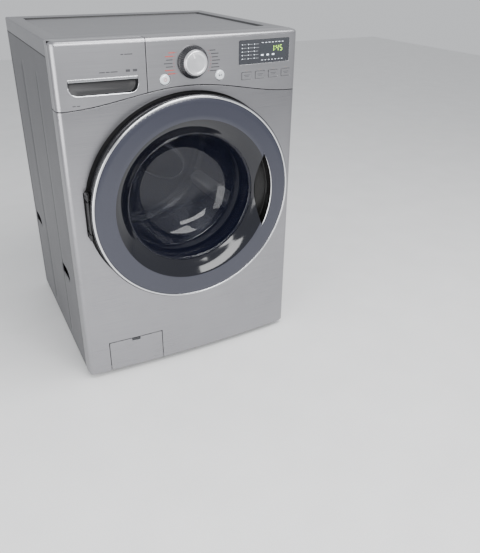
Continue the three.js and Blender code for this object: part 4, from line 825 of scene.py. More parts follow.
def side_sheet(side):
    """A painted side with pressed lines and long holes, near-black strips of painted shade in its grooves,
    holes and seams, and its spring's bracket.
    """
    name = "left" if side < 0 else "right"
    (_, y0, _), (_, y1, _) = corners("side_panel_right")
    z1 = SKIRT_Z - 0.4
    beads = [FRONT + way for way in SIDE_BEADS]

    def lay(y, z, depth):
        dent = 0.0
        ends = min(1.0, max(0.0, min(z - LOW - 45, SKIRT_Z - 84 - z) / 12 + 1))
        for b in beads:
            dent = max(dent, ends * 1.2 * max(0.0, 1 - ((y - b) / 3.2) ** 2))
        for way, rise in SIDE_SLOTS:
            past = max(0.0, abs(y - FRONT - way) - SLOT_HALF + SLOT_RISE)
            out = math.hypot(past, z - LOW - rise) - SLOT_RISE
            if out < 6:
                dent = max(dent, 2.6 * (1 - max(0.0, out) / 6) ** 2)
        return side * (HALF_W - dent - depth), y, z

    across_beads = [b + step for b in beads for step in (-3.2, -1.6, 0, 1.6, 3.2)]
    columns = sorted_unique(np.linspace(y0, y1, 18), across_beads)
    rows = sorted_unique(np.linspace(LOW, z1, 34), [LOW + 33, LOW + 45, z1 - 96, z1 - 84])
    near = []
    for slot in SIDE_SLOTS:
        for grow in (1.5, 3, 4.5, 6, 8):
            near += slot_outline(slot, grow)
    outline = [(y0, LOW), (y1, LOW), (y1, z1), (y0, z1)]
    slots = [slot_outline(slot) for slot in SIDE_SLOTS]
    sheet = plate(outline, slots, lay, SHEET, columns, rows, 24, near, clear=1.0)
    # Near-black strips as painted shade: in the pressed lines, under the top's rim, in the gap behind the
    # front and behind the long holes.
    lines = [(0.25, 1.6, b - 1.5, b + 1.5, LOW + 36, SKIRT_Z - 86) for b in beads]
    lines.append((-0.05, 0.6, y0 + 3, y1 - 3, z1 - 3.0, z1 + 0.2))
    lines.append((0.1, 0.8, y0 - 0.9, y0 + 0.5, LOW + 2, z1))
    for way, rise in SIDE_SLOTS:
        y, z = FRONT + way, LOW + rise
        lines.append((12, 14, y - SLOT_HALF, y + SLOT_HALF, z - SLOT_RISE, z + SLOT_RISE))
    shade_strips = merged(*[side_block(side, *line) for line in lines])
    piece(f"side_lines_{name}", shade_strips, "casing_grey", "cabinet", look="seam_black")
    shape = merged(sheet, side_block(side, 1, 16, y1 - 1.2, y1, LOW, z1))
    stands_for = [f"side_panel_{name}"]
    piece(f"side_sheet_{name}", shape, "casing_grey", "cabinet", stands_for, bevel=0.5)
    hanger_z = corners(f"spring_{name}")[1][2] + 0.8
    hanger = side_block(side, 1.4, 66, 40, 70, hanger_z, hanger_z + 3)
    piece(f"spring_hanger_{name}", hanger, "zinc_sheet", "cabinet", bevel=0.5)


def top_cover():
    """The top plate with its rounded rim and sunk middle, and a dark strip of painted shade in the seam
    round the middle.
    """
    y0, y1 = corners("top_plate")[0][1], BACK
    rx0, rx1, ry0, ry1 = -HALF_W + 43, HALF_W - 43, y0 + 58, BACK - 70

    def loop(x0, x1, ya, yb, r, z):
        return [(x, y, z) for x, y in rounded(x0, x1, ya, yb, r, 8)]

    def outer(inset, r, z):
        return loop(-HALF_W + inset, HALF_W - inset, y0 + inset, y1 - inset, r, z)

    def inner(inset, r, z):
        return loop(rx0 + inset, rx1 - inset, ry0 + inset, ry1 - inset, r, z)

    loops = [outer(0, 3, SKIRT_Z), outer(0, 3, TOP - 4)]
    for k in range(1, 6):
        t = math.radians(18 * k)
        loops.append(outer(4 * (1 - math.cos(t)), 3 - 0.4 * k, TOP - 4 + 4 * math.sin(t)))
    loops += [inner(-1.2, 12, TOP), inner(0, 11, TOP - 0.5), inner(0.7, 10.4, TOP - 1.4)]
    loops += [inner(1.8, 10, TOP - 4.2), inner(3.2, 9, TOP - 5), inner(30, 6, TOP - 5)]
    loops += [inner(30, 6, TOP - 6.5), inner(5, 8, TOP - 6.5), inner(-1.6, 12, TOP - 1.6)]
    loops += [outer(5.0, 2, TOP - 1.6), outer(2.0, 2, TOP - 5), outer(2.0, 2, SKIRT_Z)]
    piece("top_cover", hoop(loops, flat=12), "top_grey", "cabinet", ["top_plate"], angle=40)
    # A near-black strip round the sunk middle: painted shade of the step.
    strip = [inner(-0.4, 11, TOP - 0.1), inner(1.3, 10.2, TOP - 1.1), inner(4.2, 9, TOP - 4.7)]
    strip += [inner(4.6, 9, TOP - 5.3), inner(1.4, 10, TOP - 5.0), inner(-0.6, 11, TOP - 0.9)]
    piece("top_seam", hoop(strip), "top_grey", "cabinet", look="recess_black", angle=50)


def back_sheet():
    """The ribbed back sheet, the round cover behind the motor and their screws."""
    holes = [circle(170, (0, DOOR_Z), 120)]
    holes += [circle(14.7, (x, TOP - 78), 28) for x in (215, 275)]
    holes.append(circle(12.5, (-300, TOP - 118), 28))
    holes.append(circle(9, (-250, TOP - 280), 24))
    half = HALF_W - 1.6
    outline = [(-half, LOW), (half, LOW), (half, SKIRT_Z - 0.4), (-half, SKIRT_Z - 0.4)]
    rib_end, ribs = 205, (70, 120, 170, 220, 270, 320)

    def lay(x, z, depth):
        rise = 0.0
        for rib_z in ribs:
            out = math.hypot(max(0.0, abs(x) - rib_end), z - rib_z)
            rise = max(rise, 3.4 * max(0.0, 1 - (out / 9) ** 2))
        ring = abs(math.hypot(x, z - DOOR_Z) - 222)
        rise = max(rise, 2.0 * max(0.0, 1 - (ring / 7) ** 2))
        return x, BACK - depth + rise, z

    columns = sorted_unique(np.linspace(-half, half, 70), [-214, -rib_end, rib_end, 214])
    across_ribs = [z + step for z in ribs for step in (-9, -5, 0, 5, 9)]
    rows = sorted_unique(np.linspace(LOW, SKIRT_Z, 84), across_ribs)
    shape = plate(outline, holes, lay, SHEET, columns, rows, step=14)
    piece("back_sheet", shape, "zinc_sheet", "cabinet", ["rear_panel"], bevel=0.35)
    y = BACK + 0.4
    cover = [
        (0, y + 28),
        (60, y + 28, 4),
        (66, y + 25.5, 3),
        (96, y + 25.5, 3),
        (102, y + 28, 4),
        (130, y + 28, 12),
        (162, y + SHEET, 9),
        (190, y + SHEET, 0.6),
        (190, y, 0.4),
        (161, y, 8),
        (129, y + 26.8, 12),
        (102, y + 26.8, 3),
        (96, y + 24.3, 3),
        (66, y + 24.3, 3),
        (60, y + 26.8, 3),
        (0, y + 26.8),
    ]
    piece("back_cover", turned(cover, (0, DOOR_Z), 120), "zinc_sheet", "cabinet", ["rear_cover"])
    start = math.radians(22.5)
    ring = circle(180, (0, DOOR_Z), 8, start, start + 2 * math.pi)
    places = [(x, y + SHEET, z) for x, z in ring]
    levels = np.linspace(LOW + 24, SKIRT_Z - 24, 7)
    places += [(x, BACK, z) for x in (9 - half, half - 9) for z in levels]
    places += [(x, BACK, SKIRT_Z - 12) for x in (-180, 0, 150)]
    places += [(x, BACK, LOW + 12) for x in (-210, -70, 70, 210)]
    screws("back_screws", places, "zinc_sheet", "cabinet")


def feet():
    """Four levelling feet: a rubber sole, and a nut and threads above it."""
    for node in ("foot_front_left", "foot_front_right", "foot_rear_left", "foot_rear_right"):
        lo, hi = corners(node)
        centre = ((lo[0] + hi[0]) / 2, (lo[1] + hi[1]) / 2)
        sole = [(0, 0), (17, 0, 1), (19, 1, 1), (21, 3, 1.5), (21, 7, 2), (15, 10, 2), (9, 10.4)]
        sole += [(9, 10.5), (0, 10.5)]
        piece(f"{node}_sole", turned(sole, centre, 40, axis="Z"), "foot_rubber", "cabinet", [node])
        nut = [(0, 10.6), (9.6, 10.6, 0.8), (9.6, 15.4, 0.8), (0, 15.4)]
        threads = [(0, 10.6)]
        for k in range(26):
            z = 16 + k * 1.45
            threads += [(5.9, z), (5.2, z + 0.7)]
        threads += [(5.2, hi[2]), (0, hi[2])]
        shape = merged(turned(nut, centre, 6, axis="Z"), turned(threads, centre, 20, axis="Z"))
        piece(f"{node}_stem", shape, "zinc_sheet", "cabinet", angle=50)


# ---------------------------------------------------------------- control panel


def crown_shape(s0, s1, y_back):
    """The rounded upper edge of the front and the flat strip behind it."""
    loops = []
    for s in sorted_unique([s0, s1], front_columns(s0, s1)):
        x, y, nx, ny = around(s)
        loop = []
        for k in range(8):
            t = math.radians(90 * k / 7)
            d = CROWN_R * (1 - math.cos(t))
            loop.append((x - nx * d, y - ny * d, TOP - CROWN_R * (1 - math.sin(t))))
        loop.append((x, y_back, TOP))
        loop.append((x, y_back, TOP - MOULDING))
        loop.append((x - nx * CROWN_R, y - ny * CROWN_R, TOP - MOULDING))
        loop.append((x - nx * 3, y - ny * 3, TOP - CROWN_R))
        loops.append(loop)
    return loft(loops)


def panel_skin(s0, s1, holes, step):
    """The control panel's sheet between two ends, from its seam up to its rounded edge."""
    outline = [(s0, TOP - CROWN_R), *seam_points(s0, s1, SEAM / 2), (s1, TOP - CROWN_R)]
    rows = np.linspace(TOP - 165, TOP - CROWN_R, 22)
    return plate(outline, holes, on_front, MOULDING, front_columns(s0, s1), rows, step=step)


def fascia():
    """The control panel's cover beside the drawer, the strip over it and the drawer's bay."""
    reach = girth(RETURN_D)
    left = SPLIT_X + SEAM / 2
    holes = []
    keys_round = [(f"option_key_{n}", 0.7, 2.6, 4) for n in range(1, 5)]
    for node, gap, r, steps in [("display_window", 0.4, 4, 6), *keys_round]:
        (x0, _, z0), (x1, _, z1) = corners(node)
        holes.append(rounded(x0 - gap, x1 + gap, z0 - gap, z1 + gap, r, steps))
    holes += [circle(14.7, middle(node), 48) for node in ("power_button", "start_button")]
    skin = panel_skin(left, reach, holes, step=10)
    piece("fascia_skin", skin, "fascia_silver", "cabinet", ["control_panel"], bevel=0.9)
    y_back = corners("control_panel")[1][1]
    bay_y = FRONT + DRAWER_DEPTH + SEAM
    crown = crown_shape(left, FLAT + ARC, y_back)
    piece("fascia_crown", crown, "fascia_silver", "cabinet", angle=40)
    edge = circle(7.0, (HALF_W - 7.0, TOP - 7.0), 5, 0.0, math.pi / 2, False)
    strip_left = [(-x, z) for x, z in edge] + [(left, TOP), (left, TOP - MOULDING)]
    strip_left += [(-HALF_W + MOULDING, TOP - MOULDING), (-HALF_W + MOULDING, TOP - 9)]
    strip_left += [(-HALF_W, TOP - 9)]
    behind = loft([[(x, y, z) for x, z in strip_left] for y in (bay_y, y_back)])
    low = seam_z(HALF_W) + SEAM / 2
    side = block(-HALF_W, -HALF_W + MOULDING, bay_y, y_back, low, TOP - 9)
    piece("fascia_left", merged(behind, side), "fascia_silver", "cabinet", bevel=0.4)
    # Bay behind the drawer front, with the tray's way through it.
    (tx0, _, tz0), (tx1, _, tz1) = corners("drawer_tray")
    bay = plate(
        [(-HALF_W + 3, low), (left, low), (left, TOP - 3.2), (-HALF_W + 3, TOP - 3.2)],
        [rounded(tx0 - 3.5, tx1 + 3.5, tz0 - 3.5, tz1 + 3.5, 2)],
        lambda x, z, d: (x, bay_y + d, z),
        2.5,
    )
    piece("drawer_bay", bay, "dark_plastic", "cabinet", bevel=0.3)
    cheek = block(left, left + 2.5, bow_y(left) + 3.2, bay_y + 2.5, low + 22, TOP - 4)
    piece("drawer_bay_cheek", cheek, "dark_plastic", "cabinet", bevel=0.3)


def drawer_face():
    """The drawer's front: its sheet and rounded upper edge."""
    reach = girth(DRAWER_DEPTH)
    right = SPLIT_X - SEAM / 2
    pocket = rounded(*POCKET, 5, 8, low=22)
    skin = panel_skin(-reach, right, [pocket], step=8)
    piece("drawer_skin", skin, "fascia_silver", "drawer", ["drawer_front"], bevel=0.9)
    crown = crown_shape(-FLAT - ARC, right, FRONT + DRAWER_DEPTH)
    piece("drawer_crown", crown, "fascia_silver", "drawer", angle=40)


def drawer_pocket():
    """Finger pocket: walls that follow the cut, and a floor that leans back towards the top."""
    x0, x1, z0, z1 = POCKET
    cx, cz, half_w, half_h = (x0 + x1) / 2, (z0 + z1) / 2, POCKET_W / 2, POCKET_H / 2
    cut = dense(rounded(x0, x1, z0, z1, 5, 8, low=22), 8)

    def surface(x, z):
        return on_front(x, z, 0.3)[1]

    def floor(x, z):
        return bow_y(cx) + 21 - 7 * max(0.0, (z1 - z) / POCKET_H) ** 2

    def ring(grow, y_of, lift=0.0):
        wide, high = (half_w + grow) / half_w, (half_h + grow) / half_h
        return [(cx + (x - cx) * wide, y_of(x, z) + lift, cz + (z - cz) * high) for x, z in cut]

    cup = [ring(0, surface, 0.2), ring(0, floor, -3), ring(-1.2, floor, -0.8), ring(-4, floor)]
    cup += [ring(-10, floor), ring(-10, floor, 2), ring(2, floor, 2), ring(2, surface, 2.4)]
    shape = hoop(cup, flat=4)
    piece("drawer_pocket", shape, "dark_plastic", "drawer", look="pocket_gloss")


def drawer_lips():
    """Bright edges over and under the finger pocket."""
    x0, x1, z0, z1 = POCKET
    band = [(x0 + 2, z1 - 5.5), (x1 - 2, z1 - 5.5), (x1 - 1, z1 + 1.6), (x0 + 1, z1 + 1.6)]
    shape = plate(band, [], under_front(-1.2), 2.4, np.linspace(x0, x1, 16))
    piece("drawer_lip_top", shape, "trim_chrome", "drawer", bevel=0.9)
    r = 22
    line = circle(r, (x0 + r, z0 + r), 6, math.pi, 1.5 * math.pi, False)[:-1]
    line += [(x0 + r + (x1 - x0 - 2 * r) * k / 12, z0) for k in range(13)]
    line += circle(r, (x1 - r, z0 + r), 6, 1.5 * math.pi, 2 * math.pi, False)[1:]
    path = [on_front(x, z, 0.4) for x, z in line]
    lip = tube(path, lambda t: 1.1 + 1.1 * math.sin(math.pi * t), 12)
    piece("drawer_lip_low", lip, "trim_chrome", "drawer")


def drawer_marks():
    """Plain bars in place of the printing on the drawer."""
    words_at = ((-232, 76, (14, 9, 17)), (-176, 36, (7, 20)), (-304, 152, (8, 8)))
    rows = []
    for x, drop, words in words_at:
        for word in words:
            rows.append((x, x + word, TOP - drop - 1.1, TOP - drop + 1.1))
            x += word + 2.6
    rows += [(x, x + 11, TOP - 78, TOP - 72) for x in (-166, -148)]
    marks("drawer_marks", rows, "panel_ink", "fascia_silver", "drawer")


SEGMENTS = {"1": "bc", "4": "fgbc", "5": "afgcd"}  # lit bars of each figure that is shown


def digit(code, x, z, w, h, t):
    """Outlines of the lit bars of one seven-bar figure."""
    bars = {
        "a": (x + t, x + w - t, z + h - t, z + h),
        "g": (x + t, x + w - t, z + h / 2 - t / 2, z + h / 2 + t / 2),
        "d": (x + t, x + w - t, z, z + t),
        "f": (x, x + t, z + h / 2 + t * 0.4, z + h - t * 0.6),
        "b": (x + w - t, x + w, z + h / 2 + t * 0.4, z + h - t * 0.6),
        "e": (x, x + t, z + t * 0.6, z + h / 2 - t * 0.4),
        "c": (x + w - t, x + w, z + t * 0.6, z + h / 2 - t * 0.4),
    }
    return [bars[b] for b in SEGMENTS[code]]


def marks(name, rects, look, slot="display_black", body="cabinet", lift=-0.22, r=0.3):
    """Thin raised marks laid on the bowed front."""
    parts = []
    for x0, x1, z0, z1 in rects:
        outline = rounded(x0, x1, z0, z1, min(r, (x1 - x0) / 2.1, (z1 - z0) / 2.1), 2)
        parts.append(plate(outline, [], under_front(lift), 0.3))
    piece(name, merged(*parts), slot, body, look=look)


def display():
    """The dark window with a lit figure, lamps and plain bars in place of words."""
    (x0, _, z0), (x1, _, z1) = corners("display_window")
    outline = rounded(x0, x1, z0, z1, 3.6)
    glass = plate(outline, [], under_front(0.4), 2.2, np.linspace(x0, x1, 18))
    piece("display_glass", glass, "display_black", "cabinet", ["display_window"], bevel=0.5)
    field = [(x0 + 66, x1 - 14, z0 + 15, z1 - 13)]
    marks("display_field", field, "display_lcd", lift=0.25, r=1.5)
    figures = []
    for x, code in ((104, "1"), (119, "4"), (131.5, "5")):
        figures += digit(code, x0 + x, z0 + 29, 8.5, 16, 1.7)
    figures += [(x0 + 115, x0 + 116.6, z, z + 1.6) for z in (z0 + 33, z0 + 40)]
    marks("display_figures", figures, "display_green", lift=0.02)
    dots, words = [], []
    for row in range(5):
        z = z0 + 13 + row * 9.2
        for column in range(3):
            x = x0 + 9 + column * 19
            dots.append((x, x + 2.2, z, z + 2.2))
            word = 9.5 + (row * 3 + column * 5) % 4
            words.append((x + 3.8, x + 3.8 + word, z + 0.4, z + 1.7))
    for k in range(7):
        x = x0 + 72 + k * 11
        dots += [(x, x + 6, z1 - 9.5, z1 - 8.3), (x, x + 4.4, z0 + 7, z0 + 8.2)]
    marks("display_lamps", dots, "display_white", lift=0.22)
    lamps = [(x0 + x, x0 + x + 8, z0 + 19, z0 + 23) for x in (70, 88, 106)]
    marks("display_bars", lamps, "display_white", lift=0.02, r=1.2)
    marks("display_rows", words, "display_faint", lift=0.24)


def keys():
    """Four option keys, each with plain bars on it and a lamp above."""
    for n in range(1, 5):
        (x0, _, z0), (x1, _, z1) = corners(f"option_key_{n}")
        columns, rows = np.linspace(x0, x1, 6), np.linspace(z0, z1, 4)
        outline = rounded(x0, x1, z0, z1, 2.2, 4)
        shape = plate(outline, [], under_front(-0.8), 5.0, columns, rows, step=6)
        piece(f"key_{n}_cap", shape, "fascia_silver", f"key_{n}", [f"option_key_{n}"], bevel=0.8)
        rects = [(x0 + 6, x1 - 6, z0 + 11, z0 + 12.2), (x0 + 9, x1 - 9, z0 + 7.4, z0 + 8.4)]
        marks(f"key_{n}_mark", rects, "panel_ink", "fascia_silver", f"key_{n}", lift=-0.95)
        mid = (x0 + x1) / 2
        marks(f"key_{n}_lamp", [(mid - 3, mid + 3, z1 + 4, z1 + 5.4)], "lamp_off", lift=-0.15)


def buttons():
    """The two round buttons with a simple sign on each."""
    for node, body in (("power_button", "power"), ("start_button", "start")):
        x, z = middle(node)
        y = bow_y(x)
        cap = [(0, y - 3.6), (9, y - 3.3, 3), (12.4, y - 2.0, 1.2), (13.6, y + 0.2, 1)]
        cap += [(14, y + 2), (14, y + 8), (0, y + 8)]
        piece(f"{node}_cap", turned(cap, (x, z), 64), "button_pearl", body, [node])
    x, z = middle("power_button")
    y = bow_y(x) - 3.8
    gap = math.radians(120), math.radians(420)
    ring = [(3.4, y), (4.4, y), (4.4, y + 0.5), (3.4, y + 0.5)]
    bar = block(x - 0.5, x + 0.5, y, y + 0.5, z + 1.0, z + 5.2)
    sign = merged(turned(ring, (x, z), 40, arc=gap), bar)
    piece("power_mark", sign, "button_pearl", "power", look="panel_red")
    x, z = middle("start_button")
    y = bow_y(x) - 3.8
    arrow = loft([[(x - 4.4, d, z - 3), (x + 0.2, d, z), (x - 4.4, d, z + 3)] for d in (y, y + 0.5)])
    bars = [block(a, a + 1.1, y, y + 0.5, z - 3, z + 3) for a in (x + 1.4, x + 3.6)]
    piece("start_mark", merged(arrow, *bars), "button_pearl", "start", look="panel_ink")


def dial():
    """The dial: a dark fluted skirt, a bright cap and a pointer."""
    x, z = middle("dial_knob")
    y, face = bow_y(x), corners("dial_knob")[0][1]
    skirt = [(0, face + 8), (33, face + 8), (34.6, face + 11, 1.2), (39.4, y - 9.2, 2)]
    skirt += [(42, y - 6.0, 1.6), (42, y - 1, 0.6), (4, y - 1), (4, FRONT + 16), (0, FRONT + 16)]

    def fluted(angle, r, place):
        if 34 < r < 41 and place < y - 6.5:
            r += 0.55 * math.cos(angle * 48)
        return r, place

    shape = turned(skirt, (x, z), 288, bend=fluted)
    piece("dial_skirt", shape, "knob_silver", "dial", ["dial_knob"], look="dial_graphite")
    cap = [(0, face + 1.6), (22, face + 1.2, 2), (26.5, face, 1.6), (29.4, face + 0.3, 1.2)]
    cap += [(31, face + 3.2, 1.2), (33.2, face + 9, 1), (0, face + 9)]
    piece("dial_cap", turned(cap, (x, z), 128), "knob_silver", "dial")
    a = math.radians(112)
    tip = Vector((math.cos(a), 0, math.sin(a)))
    across = Vector((-tip.z, 0, tip.x))
    bar = []
    for depth in (0.1, 1.7):
        centre = Vector((x, face + depth, z))
        ends = ((13, -1.1), (26.4, -1.1), (26.4, 1.1), (13, 1.1))
        bar.append([tuple(centre + tip * r + across * w) for r, w in ends])
    piece("dial_pointer", loft(bar), "knob_silver", "dial", look="dial_white", bevel=0.3)


def dial_marks():
    """Fixed marks beside the dial: a small lamp and a short bar for each setting."""
    x, z = middle("dial_knob")
    lamps, left, warm, right = [], [], [], []
    for k in range(7):
        level = z + (3 - k) * 8.6
        half = math.sqrt(50**2 - (level - z) ** 2)
        length = 17 + (k * 5) % 9
        lamps.append((x - half - 3.2, x - half - 1.4, level - 0.9, level + 0.9))
        lamps.append((x + half + 1.4, x + half + 3.2, level - 0.9, level + 0.9))
        column = warm if k in (0, 1, 5, 6) else left
        column.append((x - half - 6 - length, x - half - 6, level - 1.1, level + 1.1))
        right.append((x + half + 6, x + half + 6 + length, level - 1.1, level + 1.1))
    marks("dial_lamps", lamps, "panel_red", "fascia_silver", r=0.8)
    marks("dial_bars_left", left, "panel_ink", "fascia_silver")
    marks("dial_bars_warm", warm, "panel_red", "fascia_silver")
    marks("dial_bars_right", right, "panel_ink", "fascia_silver")


# ---------------------------------------------------------------- door

# The door's front from the glass outward: radius, depth behind its face.
DISH_LINE = [(192, 31), (199, 25.4), (206, 19), (214, 12.6), (222, 7.2), (229, 2.6), (232, 1)]
RING_LINE = [(234.5, 0.1), (238, -0.5), (284.5, -0.5), (288.5, 0.5), (291, 1.8)]


def door_y(r):
    """The door's front surface at that distance from its middle."""
    radii, depths = zip(*DISH_LINE, *RING_LINE)
    return FACE + float(np.interp(r, radii, depths))


def off_centre(p):
    """Distance of a point seen from the front to the door's middle."""
    return math.hypot(p[0], p[1] - DOOR_Z)


def on_door(x, z, depth):
    """A point that far behind the door's front surface."""
    return x, door_y(off_centre((x, z))) + depth, z


def grip_arcs(count=24):
    """Outer and inner arc of the finger pocket, both from the lower tip to the upper one."""
    tip_x = GRIP_R * math.cos(GRIP_HALF_ANGLE)
    tip_z = GRIP_R * math.sin(GRIP_HALF_ANGLE)
    sag = tip_x - GRIP_X
    inner_r = (tip_z**2 + sag**2) / (2 * sag)
    centre = GRIP_X + inner_r
    half = math.asin(tip_z / inner_r)
    outer = circle(GRIP_R, (0, DOOR_Z), count, -GRIP_HALF_ANGLE, GRIP_HALF_ANGLE, False)
    inner = [
        (centre - inner_r * math.cos(a), DOOR_Z + inner_r * math.sin(a))
        for a in (half * (2 * k / count - 1) for k in range(count + 1))
    ]
    inner[0], inner[-1] = outer[0], outer[-1]
    return outer, inner


def window_edge(inner):
    """The window's edge, open between the two places where the pocket's inner arc crosses it."""
    turns = []
    kept = [p for p in inner if off_centre(p) < WINDOW_R - 0.6]
    for out, into in ((inner[0], kept[0]), (inner[-1], kept[-1])):
        for _ in range(30):
            half_way = ((out[0] + into[0]) / 2, (out[1] + into[1]) / 2)
            if off_centre(half_way) > WINDOW_R:
                out = half_way
            else:
                into = half_way
        turns.append(math.atan2(into[1] - DOOR_Z, into[0]))
    low, high = turns
    return circle(WINDOW_R, (0, DOOR_Z), 150, high, low + 2 * math.pi, False)


def door_rings(radii):
    """Points on rings round the door's middle."""
    return [p for r in radii for p in circle(r, (0, DOOR_Z), 140)]


def door_face():
    """The tinted ring and the glossy dish round the glass, both cut out for the finger pocket."""
    outer, inner = grip_arcs()
    edge = window_edge(inner)
    downward = [p for p in reversed(inner) if off_centre(p) > WINDOW_R + 0.6]
    hole = edge + [p for p in downward if p[1] < DOOR_Z] + outer[1:-1]
    hole += [p for p in downward if p[1] > DOOR_Z]
    rings = door_rings((235.5, 238, 246, 255, 265, 275, 284, 287, 289.5))
    rim = circle(TRIM_R - 0.5, (0, DOOR_Z), 200)
    ring = plate(rim, [hole], on_door, 3.0, step=8, extra=rings, clear=0.9)
    piece("door_ring", ring, "ring_tint", "door", ["door_frame"], angle=50)
    rim = edge + [p for p in inner if off_centre(p) < WINDOW_R - 0.6]
    rings = door_rings((196, 200, 206, 214, 222, 229, 232))
    hole = circle(DISH_R, (0, DOOR_Z), 180)
    dish = plate(rim, [hole], on_door, 2.4, step=8, extra=rings, clear=0.9)
    piece("door_dish", dish, "ring_tint", "door", look="dish_gloss", angle=50)


def door_grip():
    """The door's finger pocket and the bright crescent along its outer edge."""
    outer, inner = grip_arcs()
    lens = outer + inner[-2:0:-1]
    cx = sum(p[0] for p in lens) / len(lens)
    floor_y = FACE + 26.5

    def shrink(d, y):
        out = []
        for x, z in lens:
            away = Vector((x - cx, (z - DOOR_Z) * 0.35)).normalized()
            out.append((x - away.x * d, y, z - away.y * d))
        return out

    loops = [[on_door(x, z, 0.2) for x, z in lens]]
    loops += [shrink(0.3, floor_y - 2.5), shrink(1.6, floor_y - 0.6), shrink(3.4, floor_y)]
    loops += [shrink(3.4, floor_y + 1.6), shrink(-1.2, floor_y + 1.6)]
    loops.append([on_door(x, z, 1.8) for x, z in lens])
    shape = hoop(loops, flat=3)
    piece("door_grip", shape, "dark_plastic", "door", look="grip_black")
    crescent = []
    for k in range(41):
        t = 2 * k / 40 - 1
        a = t * (GRIP_HALF_ANGLE + 0.02)
        wide = 3.2 * (1 - t * t) ** 0.6 + 0.4
        loop = []
        for r, d in ((0, 0.6), (0, -1.0), (wide * 0.5, -2.1), (wide, -1.0), (wide, 0.6)):
            radius = GRIP_R - 0.6 + r
            x, z = radius * math.cos(a), DOOR_Z + radius * math.sin(a)
            loop.append((x, door_y(radius) + d, z))
        crescent.append(loop)
    piece("grip_crescent", loft(crescent), "trim_chrome", "door", angle=60)


def door_shell():
    """The door's bright edge, side wall, back and glass bowl."""
    f = FRONT
    trim = [
        (TRIM_R - 0.4, FACE + 1.6),
        (TRIM_R + 0.4, FACE, 0.6),
        (TRIM_R + 2.6, FACE - 0.7, 1.6),
        (TRIM_R + 5.2, FACE + 0.4, 1.6),
        (TRIM_R + 6.0, FACE + 3.0, 1.0),
        (TRIM_R + 6.0, f - 44.4),
        (TRIM_R - 0.4, f - 44.4),
    ]
    band = [
        (TRIM_R + 6.2, FACE + 2.6),
        (DOOR_R - 1.4, FACE + 3.4, 1.2),
        (DOOR_R, FACE + 5.6, 1.4),
        (DOOR_R - 0.8, f - 44.4, 0.6),
        (TRIM_R + 6.2, f - 44.4),
    ]
    shape = turned(band, (0, DOOR_Z), 220)
    piece("door_band", shape, "dark_plastic", "door", look="edge_gloss")
    piece("door_edge", turned(trim, (0, DOOR_Z), 220), "trim_chrome", "door", ["door_trim"])
    thin = WALL_R - 3.5
    upper = [(WALL_R, f - 44, 0.8), (WALL_R, f - 36), (thin, f - 36), (thin, f - 44)]
    lower = [(WALL_R, f - 36), (WALL_R, f - 12, 1.2), (thin, f - 12), (thin, f - 36)]
    notch = math.asin(46 / WALL_R)
    shape = merged(
        turned(upper, (0, DOOR_Z), 200),
        turned(lower, (0, DOOR_Z), 200, arc=(-math.pi + notch, math.pi - notch)),
    )
    piece("door_wall", shape, "dark_plastic", "door", look="edge_gloss")
    inner, rim = DISH_R + 0.5, WALL_R - 5.5
    cover = [
        (inner, f - 14.4),
        (inner + 4, f - 14.4),
        (inner + 4, f - 8, 1),
        (inner + 23, f - 5, 3),
        (rim - 20, f - 5, 3),
        (rim - 4, f - 9.5, 1),
        (rim - 4, f - 13),
        (rim, f - 13),
        (rim, f - 8, 2),
        (rim - 19, f - 1.5, 6),
        (inner + 60, f - 1.5, 2),
        (inner + 57, f - 2.6, 2),
        (inner + 50, f - 2.6, 2),
        (inner + 47, f - 1.5, 2),
        (inner + 22, f - 1.5, 5),
        (inner, f - 5.5, 1),
    ]
    piece("door_back", turned(cover, (0, DOOR_Z), 180), "dark_plastic", "door", ["door_cover"])
    start = math.radians(15)
    ring = circle(rim - 30, (0, DOOR_Z), 12, start, start + 2 * math.pi)
    places = [(x, f - 1.5, z) for x, z in ring]
    screws("door_screws", places, "hinge_iron", "door", size=0.9)
    d, t = 112, 5
    bowl = [
        (DISH_R + 12, f - 20),
        (DISH_R - 5, f - 20, 5),
        (DISH_R - 14, f, 10),
        (DISH_R - 22, f + 0.28 * d, 12),
        (DISH_R - 40, f + 0.6 * d, 18),
        (DISH_R - 70, f + 0.82 * d, 16),
        (DISH_R - 120, f + 0.93 * d, 24),
        (0, f + d - t),
        (0, f + d),
        (DISH_R - 120 + t / 3, f + 0.93 * d + t, 24),
        (DISH_R - 70 + 2 * t / 3, f + 0.82 * d + t, 16),
        (DISH_R - 40 + t, f + 0.6 * d + t / 2, 18),
        (DISH_R - 22 + t, f + 0.28 * d, 12),
        (DISH_R - 14 + t, f, 10),
        (DISH_R - 3, f - 15, 3),
        (DISH_R + 12, f - 15),
    ]
    shape = turned(bowl, (0, DOOR_Z), 160, steps=6)
    piece("door_bowl", shape, "bowl_glass", "door", ["door_glass"], angle=50)


def gasket():
    """The rubber bellows between the front's mouth and the tub."""
    (_, y0, _), (_, y1, _) = corners("door_gasket")
    run = y1 - y0
    wall = [
        (206, y0 + 1, 1), (200, y0 - 1, 2), (193.5, y0 + 1, 2), (191.5, y0 + 8, 3),
        (186.5, y0 + 13, 3), (183, y0 + 17, 2), (189, y0 + 20, 3), (203, y0 + 24, 4),
        (206, y0 + 28, 3), (190, y0 + 32, 4), (184, y0 + 36, 3), (190, y0 + 41, 4),
        (200, y0 + 45, 3), (200.5, y0 + run - 1, 1), (204, y0 + run - 1, 1), (204, y0 + 43, 3),
        (194, y0 + 38, 3), (190, y0 + 36, 2), (194, y0 + 34, 3), (209, y0 + 29, 3),
        (209, y0 + 23, 3), (194, y0 + 17, 3), (190, y0 + 15, 2), (195, y0 + 11, 2),
        (197, y0 + 4, 2), (206, y0 + 4, 1),
    ]
    shape = turned(wall, (0, DOOR_Z), 160)
    ends = (0, y0 + 10, DOOR_Z), (0, y1 - 6, DOOR_Z)
    bending("gasket_bellows", shape, "gasket_rubber", "door_gasket", *ends, 50)


# ---------------------------------------------------------------- drum


